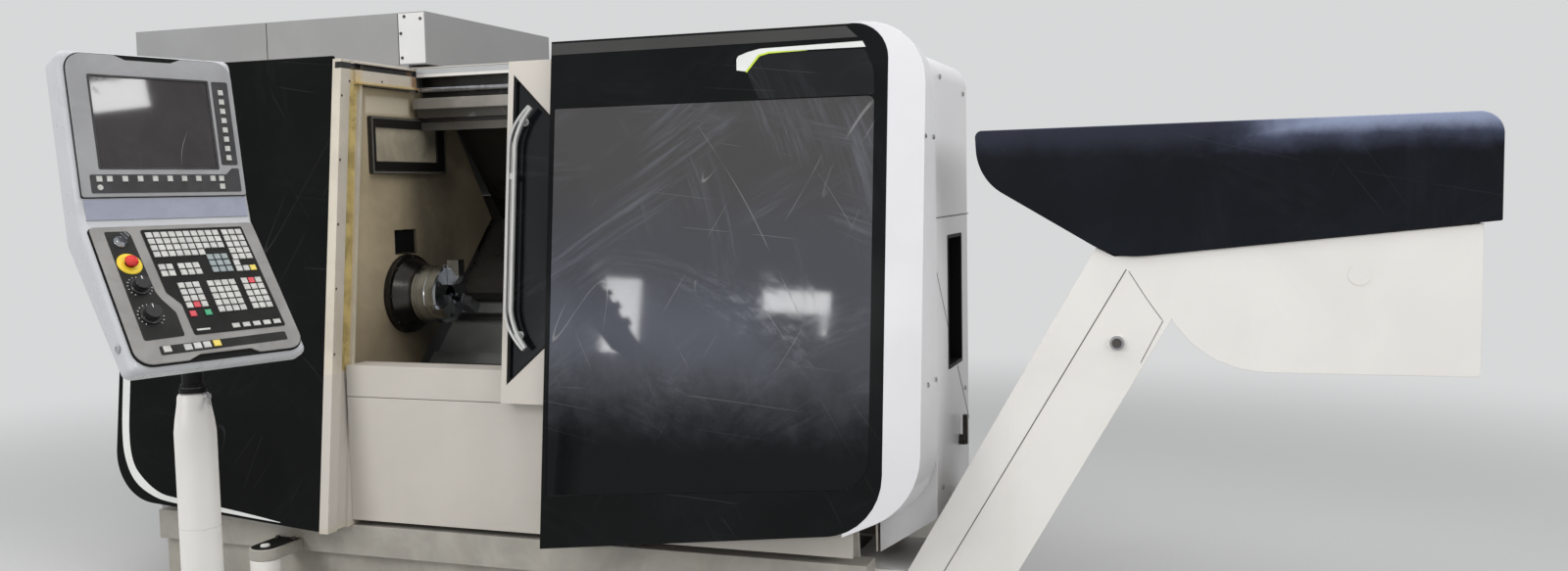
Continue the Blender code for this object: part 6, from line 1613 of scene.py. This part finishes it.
@dataclass
class DoorWay(SubAssembly):
    """Door opening: jamb, sill, inner wall with its lamp and port, and the beam above."""

    wall_x: float = -0.03
    lamp: tuple[Flat, Flat] = ((0.216, 0.68), (1.535, 1.744))
    pane: tuple[Flat, Flat] = ((0.24, 0.622), (1.58, 1.704))
    port: tuple[Flat, Flat] = ((0.354, 0.478), (1.239, 1.322))
    rail: Flat = (0.5, 1.852)

    def build(self) -> None:
        """Build and dress the opening."""
        self.refine(("door_jamb", Paint.JAMB, 0.001, 2), ("headstock_wall", Paint.WALL, 0.0008, 2),
                    ("sill", Paint.CREAM, 0.0015, 3), ("lower_front_plate", Paint.CREAM, 0.0015, 2),
                    ("top_beam", Paint.CHANNEL, 0.001, 2))
        self.dress_jamb()
        self.work_lamp()
        self.wall_port()
        self.beam()

    def dress_jamb(self) -> None:
        """Small dark screws on the jamb and its return, and golden old oil in its groove."""
        y = FRONT.y
        spots = [(y(z) + 0.0075, z) for z in (1.805, 1.582, 1.359, 1.137, 0.912)]
        spots += [(0.088, 1.857), (0.273, 1.868)]
        places = [side_frame(0.0) @ shift(*spot) for spot in spots]
        self.screws("jamb_screws", places, 0.0044, 0.0024, "door_jamb", Paint.SCREW)
        low, high = 0.848, 1.843
        lining = [(y(z, depth), z) for z, depth in ((low, 0.0515), (low, 0.1035), (high, 0.1035),
                                                    (high, 0.0515))]
        self.foil("groove_lining", [lining], side_frame(-0.012), "door_jamb", Paint.GROOVE, 0.0004)

    def work_lamp(self) -> None:
        """Work lamp: thick frame with a worn outer lip and its frosted pane."""
        face = side_frame(self.wall_x + LAID)
        body = Piece("work_lamp_frame").prism(grown(*self.lamp, 0, 0.006), 0.0175, face, 0.0022, 3,
                                              [grown(*self.pane, 0, 0.004)])
        self.keep(body, "work_lamp", Paint.LAMP_FRAME, stands=True)
        lip = Piece("work_lamp_lip").prism(grown(*self.lamp, -0.001, 0.005), 0.001, face @ lift(0.0176),
                                           0.0004, 2, [grown(*self.lamp, -0.009, 0.004)])
        self.keep(lip, "work_lamp", Paint.PALE_STRIP)
        glass = Piece("work_lamp_pane").prism(grown(*self.pane, -0.0004, 0.004), 0.0105, face, 0.0008, 2)
        self.keep(glass, "work_lamp", Paint.LENS)

    def wall_port(self) -> None:
        """Dark box behind the square port, with a thin worn rim."""
        face = side_frame(self.wall_x)
        rim = Piece("port_rim").prism(grown(*self.port, 0.004, 0.003), 0.0012, face @ lift(LAID), 0.0004,
                                      2, [grown(*self.port, 0, 0.002)])
        self.keep(rim, "headstock_wall", Paint.DARK_STEEL)
        back = Piece("port_shutter").prism(grown(*self.port, -0.0004, 0.001), 0.0016,
                                           face @ lift(-0.0038), 0.0003, 1)
        (y0, y1), (z0, z1) = self.port
        for k in range(6):
            z = z0 + (z1 - z0) * (k + 0.5) / 6
            back.prism(rect(y0 + 0.006, y1 - 0.006, z - 0.0025, z + 0.0025, 0.001), 0.0012,
                       face @ lift(-0.0024), 0.0005, 1)
        self.keep(back, "headstock_wall", Paint.PORT)

    def beam(self) -> None:
        """Rail under the beam and its clamps."""
        y, z = self.rail
        rail = Piece("rail_sleeve").tube([(0.0, y, z), (1.85, y, z)], 0.0101, 28)
        self.keep(rail, "top_beam", Paint.JAW)
        clamps = Piece("rail_clamps")
        for k in range(4):
            x = -0.011 + 1.871 * (k + 0.5) / 4
            clamps.block((x - 0.016, x + 0.016), (0.508, 0.5405), (z - 0.01, z + 0.01), 0.002)
            for dx in (-0.009, 0.009):
                clamps.screw(frame_at((x + dx, 0.5078, z), (1, 0, 0), (0, 0, 1)), 0.0035, 0.003,
                             Head.SOCKET)
        self.keep(clamps, "top_beam", Paint.DARK_STEEL)


@dataclass
class Spindle(SubAssembly):
    """Spindle nose, power chuck and its three block jaws."""

    body: Body = Body.SPINDLE
    axis: Flat = (0.42, 1.083)
    chuck_radius: float = 0.1075
    chuck_face: float = 0.158

    def ring_of(self, count: int, radius: float, x: float, share: float = 0.0) -> list[Matrix]:
        """Frames of evenly spaced bolts round the axis.

        Args:
            count: How many there are.
            radius: Radius of the circle that they stand on.
            x: Where they stand along the axis.
            share: Share of a step that the first one is turned by.

        Returns:
            The frames, X pointing away from the axis.
        """
        axis = frame_at((0, *self.axis), (0, 1, 0), (0, 0, 1))
        return [axis @ Matrix.Rotation(math.tau * (k + share) / count, 4, "Z") @ shift(radius, 0, x)
                for k in range(count)]

    def build(self) -> None:
        """Build and dress the spindle."""
        self.refine(("chuck_body", Paint.STEEL, 0.001, 2, 50.0),
                    ("spindle", Paint.DARK_STEEL, 0.001, 2, 35.0),
                    *(("chuck_" + jaw.value, Paint.JAW, 0.0012, 2, 30.0, jaw)
                      for jaw in (Body.JAW_1, Body.JAW_2, Body.JAW_3)))
        # Two thin dark rings round the chuck, drawn as grooves, copy the dark bands that the turned steel
        # reflects: a painted reflection.
        bands = Piece("chuck_reflection_rings")
        low, high = self.chuck_radius - 0.0005, self.chuck_radius + 0.00035
        for x, width in ((0.068, 0.0022), (0.079, 0.0012)):
            bands.turned([(low, x), (high, x), (high, x + width), (low, x + width), (low, x)],
                         self.ring_of(1, 0, 0)[0], 96)
        self.keep(bands, "chuck_body", Paint.DARK_STEEL)
        self.screws("chuck_bolts", self.ring_of(6, 0.08, self.chuck_face, 0.5), 0.0085, 0.0025,
                    "chuck_body", Paint.SCREW, Head.SOCKET)
        self.screws("flange_bolts", self.ring_of(8, 0.1415, -0.0036), 0.005, 0.003, "spindle",
                    Paint.SCREW, Head.SOCKET)


@dataclass
class Workings(SubAssembly):
    """Bed, saddle, turret, covers and tailstock inside the enclosure."""

    def build(self) -> None:
        """Dress the workings."""
        self.refine(("slant_bed", Paint.IRON, 0.0015, 2), ("headstock", Paint.IRON, 0.004, 2, 40.0),
                    ("z_saddle", Paint.IRON, 0.0015, 2, 30.0, Body.SADDLE),
                    ("turret_slide", Paint.IRON, 0.002, 2, 30.0, Body.SLIDE),
                    ("turret_disc", Paint.DARK_STEEL, 0.0015, 2, 30.0, Body.DISC),
                    ("tailstock", Paint.IRON, 0.003, 2, 30.0, Body.TAILSTOCK),
                    ("tailstock_quill", Paint.STEEL, 0.0008, 2, 50.0, Body.QUILL),
                    ("way_cover_fixed", Paint.COVER, 0.0008, 2),
                    ("way_cover_middle", Paint.COVER, 0.0008, 2, 30.0, Body.COVER),
                    ("way_cover_saddle", Paint.COVER, 0.0008, 2, 30.0, Body.SADDLE),
                    ("inner_rear_slope", Paint.SILL_INSIDE, 0.0008, 1))


@dataclass
class SlidingDoor(SubAssembly):
    """Sliding door: leaf, window with its gasket, and the arched double grab bar."""

    body: Body = Body.DOOR
    x0: float = 0.643
    width: float = 0.89
    z: Flat = (0.767, 1.896)
    setback: float = 0.036
    thick: float = 0.03
    stile: float = 0.02
    chamfer: float = 0.16
    floor: float = 0.012
    pane: float = 0.006
    stand: float = 0.026

    def build(self) -> None:
        """Build the door."""
        self.refine(("sliding_door", Paint.CREAM, 0.0014, 2), ("door_window", Paint.DOOR_GLASS, 0.001, 2))
        self.gasket()
        self.handle()

    def pane_face(self, out: float) -> float:
        """How far the window's outer face stands off the leaning plane, and a little more."""
        return -self.setback - self.thick + self.floor + self.pane + out

    def opening(self, inset: float = 0.0) -> list[Flat]:
        """Outline of the recess in the leaf.

        Args:
            inset: How much smaller the outline is on each side.

        Returns:
            The outline.
        """
        left = self.x0 + self.stile + inset
        right = self.x0 + self.width - 0.03 - inset
        low = FRONT.up(self.z[0]) + 0.06 + inset * 1.6
        high = FRONT.up(self.z[1]) - 0.045 - inset * 1.6
        cut = self.chamfer - inset * 0.4
        corners = [(left, low), (left + cut, low + cut * 0.9), (right, low + cut * 0.9),
                   (right, high - cut), (left + cut, high - cut), (left, high)]
        return fillet([(*corner, 0.004) for corner in corners], 3)

    def gasket(self) -> None:
        """Black gasket that follows the recess."""
        piece = Piece("window_gasket").prism(self.opening(0.0008), 0.01,
                                             FRONT.frame(self.pane_face(0.0008)), 0.0015, 2,
                                             [self.opening(0.011)])
        self.keep(piece, "door_window", Paint.RUBBER)

    def handle(self) -> None:
        """Arched grab bar of two strips that meet at the ends, on two standoffs."""
        x = self.x0 + 0.034
        low, high = FRONT.up(0.947), FRONT.up(1.738)
        bend, lean_in, steps = 0.135, 0.064, 14
        shares = [k / steps for k in range(steps + 1)]
        path = [Vector((x + lean_in * t * t, low + bend * (1 - t))) for t in (1 - s for s in shares)]
        path += [Vector((x, low + bend + (high - low - 2 * bend) * k / 9)) for k in range(1, 9)]
        path += [Vector((x + lean_in * t * t, high - bend * (1 - t))) for t in shares]
        bottom = self.pane_face(0.0006)
        bar = Piece("grab_bar")
        for offset, strip in ((-0.0098, 0.012), (0.0112, 0.0095)):
            moved = []
            for i, point in enumerate(path):
                along = (path[min(i + 1, len(path) - 1)] - path[max(i - 1, 0)]).normalized()
                ease = min(1.0, min(i, len(path) - 1 - i) / 8)
                moved.append(tuple(point + Vector((-along.y, along.x)) * offset * (0.45 + 0.55 * ease)))
            bar.prism(ribbon(moved, strip), 0.0135, FRONT.frame(bottom + self.stand + LAID), 0.0022, 3,
                      angle=40)
        bridge = [Vector((x, low + (high - low) * share)) for share in (0.7, 0.728)]
        for web in (path[:6], path[-6:], bridge):
            bar.prism(ribbon([tuple(p) for p in web], 0.0125), 0.0085,
                      FRONT.frame(bottom + self.stand + 0.0012), 0.001, 2, angle=40)
        for s in (low + 0.045, high - 0.045):
            bar.turned([(0, self.stand + 0.003), (0.0085, self.stand + 0.003), (0.0085, 0.004),
                        (0.013, 0.002), (0.013, 0.0), (0, 0.0)],
                       FRONT.frame(bottom) @ shift(x + lean_in * 0.44, s), 28)
        self.keep(bar, "door_handle", Paint.GRIP, stands=True)


@dataclass
class RightFront(SubAssembly):
    """Right black front: surround, smoked pane, header with its stripes."""

    x: Flat = (0.822, 1.952)
    top_z: float = 1.944
    low_z: float = 0.31
    fall: float = 0.107 / 0.98
    thick: float = 0.014
    pane_x: Flat = (0.838, 1.912)
    pane_z: Point = (0.48, 0.56, 1.726)

    def pane(self, inset: float) -> list[Flat]:
        """Outline of the pane.

        Args:
            inset: How much smaller the outline is on each side.

        Returns:
            The outline.
        """
        (x0, x1), (z0, z1, z2) = self.pane_x, map(FRONT.up, self.pane_z)
        return fillet([(x0 + inset, z0 + inset, 0.006), (x1 - inset, z1 + inset, 0.1),
                       (x1 - inset, z2 - inset, 0.02), (x0 + inset, z2 - inset, 0.006)], 8)

    def build(self) -> None:
        """Build the front."""
        x0, x1 = self.x
        low, high = FRONT.up(self.low_z), FRONT.up(self.top_z)
        rise = FRONT.up(self.low_z + self.fall * (x1 - x0))
        outline = fillet([(x0, low, 0), (x1, rise, 0.19), (x1, high, 0.11), (x0, high, 0)], 18)
        back = FRONT.frame(-self.thick)
        self.keep(Piece("right_black_surround").prism(outline, self.thick, back, 0.003, 3,
                                                      [self.pane(0.0)], 40),
                  "right_front_panel", Paint.SURROUND, stands=True)
        self.keep(Piece("smoked_pane").prism(self.pane(0.0006), self.thick - 0.0015, back, 0.001, 2),
                  "right_window", Paint.GLASS, stands=True)
        band = [(x0 + 0.001, 1.9), (1.858, 1.902), (1.821, 1.937), (x0 + 0.001, 1.937)]
        stripe = [(1.873, 1.889), (1.883, 1.871), (1.577, 1.872), (1.545, 1.8655), (1.501, 1.815),
                  (1.471, 1.82), (1.47, 1.855), (1.476, 1.864), (1.503, 1.8735), (1.545, 1.883)]
        lime = [(1.505, 1.811), (1.5455, 1.8595), (1.577, 1.8668), (1.699, 1.8695), (1.699, 1.8705),
                (1.577, 1.8722), (1.541, 1.8645), (1.5005, 1.815)]
        header = fillet([(x, FRONT.up(z), r) for x, z, r in (
            (1.546, 1.728, 0.004), (1.913, 1.728, 0.004), (1.909, 1.804, 0.05), (1.881, 1.865, 0.01),
            (1.577, 1.8655, 0.02), (1.546, 1.858, 0.01), (1.507, 1.806, 0.008))], 6)
        for name, shape, out, paint, thick in (
                ("top_band", on_front(band), 0.0, Paint.BAND, FOIL),
                ("header_white_stripe", on_front(stripe), 0.0, Paint.STRIPE, FOIL),
                ("header_lime_line", on_front(lime), 0.0004, Paint.LIME, FOIL),
                ("header_gloss_panel", header, 0.0, Paint.DOOR_GLASS, 0.0009)):
            self.foil(name, [shape], FRONT.frame(out), "right_front_panel", paint, thick)


@dataclass
class RightEnd(SubAssembly):
    """White end shell, side cover with its recess, bulkhead and the catch."""

    shell_x1: float = 2.067
    side_x: float = 2.062
    recess: tuple[Flat, Flat] = ((0.355, 0.56), (0.87, 1.285))

    def build(self) -> None:
        """Build and dress the right end."""
        self.refine(("right_end_shell", Paint.WHITE, 0.0012, 2, 35.0),
                    ("right_side_cover", Paint.SIDE, 0.002, 3),
                    ("side_latch", Paint.DARK_STEEL, 0.0015, 2, 30.0, Body.CATCH),
                    ("right_bulkhead", Paint.CREAM, 0.001, 1))
        side = side_frame(self.side_x)
        seams = [ribbon(line, 0.0028) for line in (((0.163, 1.354), (0.7, 1.356)),
                                                   ((0.163, 1.203), (0.343, 1.002)),
                                                   ((0.488, 0.857), (0.69, 0.64)))]
        self.foil("side_seams", seams, side, "right_side_cover", Paint.SEAM_AND_SHADE_LINE)
        inside = side_frame(self.side_x - 0.041)
        lining = Piece("recess_lining").prism(grown(*self.recess, -0.0006, 0.001), 0.0008,
                                              inside @ lift(LAID))
        lining.prism(grown(*self.recess, -0.0004, 0.001), 0.04, inside @ lift(0.0012), 0, 1,
                     [grown(*self.recess, -0.0014, 0.001)])
        self.keep(lining, "right_side_cover", Paint.RUBBER)
        rim = Piece("recess_rim").prism(grown(*self.recess, 0.01, 0.008), 0.0016, side @ lift(LAID),
                                        0.0006, 2, [grown(*self.recess, 0, 0.002)])
        self.keep(rim, "right_side_cover", Paint.RUBBER)
        spots = ((0.25, 1.79), (0.62, 1.76), (0.24, 0.5), (0.62, 0.76))
        self.screws("side_cover_bolts", [side @ shift(*spot) for spot in spots], 0.0085, 0.005,
                    "right_side_cover", Paint.BRIGHT_SCREW)
        spots = ((0.02, 1.6), (0.13, 1.6), (0.02, 0.86), (0.13, 0.86))
        self.screws("shell_bolts", [side_frame(self.shell_x1) @ shift(*spot) for spot in spots], 0.008,
                    0.0045, "right_end_shell", Paint.BRIGHT_SCREW)


@dataclass
class Sheets(SubAssembly):
    """Roof, rear sheet and the base frame."""

    rear_y: float = 1.32

    def build(self) -> None:
        """Dress the sheets and the base."""
        self.refine(("machine_base", Paint.BASE, 0.003, 2), ("roof", Paint.CREAM, 0.001, 1),
                    ("rear_panel", Paint.CREAM, 0.001, 1))
        rear = frame_at((0, self.rear_y, 0), (-1, 0, 0), (0, 0, 1))
        seams = [[(-u, v) for u, v in ribbon([(x, 0.31), (x, 1.44)], 0.003)] for x in (-0.3, 0.42, 1.14)]
        self.foil("rear_seams", seams, rear, "rear_panel", Paint.SEAM_AND_SHADE_LINE)
        places = [rear @ shift(-x, z) for x in (-0.34, -0.26, 0.38, 0.46, 1.1, 1.18)
                  for z in (0.36, 0.9, 1.38)]
        self.screws("rear_screws", places, 0.007, 0.004, "rear_panel", Paint.BRIGHT_SCREW)


@dataclass
class Cabinet(SubAssembly):
    """Electrical cabinet: casing with its corner strip, door, hinges, louvres and main switch."""

    door_x: float = -1.3823
    y: Flat = (0.502, 1.445)
    top: float = 2.149

    def build(self) -> None:
        """Build and dress the cabinet."""
        casing, door = "electrical_cabinet", "cabinet_door"
        self.refine((casing, Paint.GREY, 0.004, 3), (door, Paint.GREY, 0.004, 3, 30.0, Body.CABINET_LEAF),
                    ("main_switch", Paint.RED, 0.0015, 2, 30.0, Body.ISOLATOR))
        front = front_frame(self.y[0])
        high = self.top - 0.004
        self.foil("corner_strip", [rect(-0.082, 0.0325, 1.955, high, 0.002)], front, casing,
                  Paint.POST_WHITE, 0.001)
        self.foil("cabinet_seams", [ribbon([(x, 1.952), (x, high)], 0.003) for x in (-0.0845, -0.7)],
                  front, casing, Paint.SEAM_AND_SHADE_LINE)
        bolts = [front @ shift(x, z, 0.001) for x, z in ((-0.055, 2.133), (-0.072, 2.07),
                                                          (-0.07, 1.978), (0.016, 2.122))]
        self.screws("corner_bolts", bolts, 0.0065, 0.004, casing, Paint.SCREW)
        hinges = Piece("cabinet_hinges")
        hinge_y = self.y[1] - 0.018
        for z in (0.35, 1.1, 1.85):
            hinges.tube([(self.door_x, hinge_y, z - 0.05), (self.door_x, hinge_y, z + 0.05)], 0.0085, 20)
        self.keep(hinges, door, Paint.SCREW, Body.CABINET_LEAF)
        slats = Piece("cabinet_louvres")
        y = self.y[0]
        for k in range(14):
            z = 1.8 + 0.016 * k
            slats.prism([(y + 0.3, z), (y + 0.62, z), (y + 0.61, z + 0.008), (y + 0.31, z + 0.008)],
                        0.004, side_frame(self.door_x - 0.0045), 0.0012, 2)
        self.keep(slats, door, Paint.GREY, Body.CABINET_LEAF)


@dataclass
class Conveyor(SubAssembly):
    """Chip conveyor: trough, casing, hood, belt, drum and gear motor."""

    y: Flat = (0.1, 0.488)
    idler: Flat = (2.609, 0.989)
    drum: Flat = (3.25, 1.19)

    def idler_frame(self, out: float) -> Matrix:
        """Frame on the casing's front face at the idler, thickness to the front."""
        return frame_at((self.idler[0], self.y[0] - out, self.idler[1]), (1, 0, 0), (0, 0, 1))

    def build(self) -> None:
        """Build and dress the conveyor."""
        casing = "conveyor_casing"
        self.refine((casing, Paint.CONVEYOR, 0.0022, 3), ("conveyor_trough", Paint.CONVEYOR, 0.0012, 2),
                    ("conveyor_belt", Paint.DARK_STEEL, 0.001, 1), ("conveyor_motor", Paint.GREY, 0.004, 2))
        y0, y1 = self.y
        line = fillet([(2.199, 1.612, 0.02), (3.591, 1.622, 0.06), (3.591, 1.334, 0.004),
                       (2.605, 1.2328, 0.24), (2.207, 1.47, 0.16)], 14)
        hood = Piece("conveyor_hood_shell").prism(line, y1 - y0 + 0.024, front_frame(y1 + 0.012), 0.018,
                                                  5, angle=50)
        self.keep(hood, "conveyor_hood", Paint.HOOD, stands=True)
        near = front_frame(y0)
        # The long joint up the incline; a thin dark line along the head's curved lower edge, painted shade;
        # a dark line along the flange edge below it.
        seam_and_shade_lines = [ribbon([(2.078, 0.245), (2.634, 1.202)], 0.0024),
                ribbon(smooth([(2.641, 1.197), (2.691, 1.118), (2.734, 1.057)]), 0.0014),
                ribbon([(2.736, 1.055), (2.675, 0.933)], 0.0016)]
        self.foil("casing_seam_and_shade_lines", seam_and_shade_lines, near, casing, Paint.SEAM_AND_SHADE_LINE)
        ring = [(0.0125, 0.0008), (0.015, 0.0018), (0.0185, 0.002), (0.0214, 0.0008), (0.0216, 0),
                (0.0125, 0), (0.0125, 0.0008)]
        self.keep(Piece("idler_ring").turned(ring, self.idler_frame(0.0083), 36), casing, Paint.BEZEL)
        washer = [(0, 0.0035), (0.0075, 0.0035), (0.008, 0.001), (0.014, 0.0008), (0.014, 0), (0, 0)]
        place = self.idler_frame(0.0163)
        nut = Piece("idler_nut").turned(washer, place, 28)
        nut.prism(round_outline(0.0105, 6), 0.006, place, 0.0008, 2)
        self.keep(nut, casing, Paint.SCREW)
        profile = [(0, y0 + 0.0012), (0.019, y0 + 0.0012), (0.02, y0 + 0.0022), (0.02, y0 + 0.023),
                   (0.056, y0 + 0.023), (0.056, y1 - 0.023), (0.02, y1 - 0.023),
                   (0.02, y1 + 0.027), (0.019, y1 + 0.028), (0, y1 + 0.028)]
        axle = frame_at((self.drum[0], 0, self.drum[1]), (0, 0, 1), (1, 0, 0))
        self.keep(Piece("drum_and_shaft").turned(profile, axle, 40), "conveyor_shaft", Paint.STEEL,
                  Body.DRUM, True)
        self.foil("bearing_cover", [round_outline(0.03, 48, *self.drum)], near, casing, Paint.CONVEYOR,
                  0.0008)


def main() -> None:
    """Build the studio and every sub-assembly, and report the pieces."""
    logging.basicConfig(level=logging.INFO, format="%(name)s: %(message)s")
    Studio().build()
    for kind in (ControlPanel, SwingArm, LeftFront, DoorWay, Spindle, Workings, SlidingDoor, RightFront,
                 RightEnd, Sheets, Cabinet, Conveyor):
        assembly = kind()
        assembly.build()
        for piece in assembly.pieces:
            LOG.info("%s: %s, %d faces", kind.__name__, piece.name, len(piece.data.polygons))


if __name__ == "__main__":
    main()
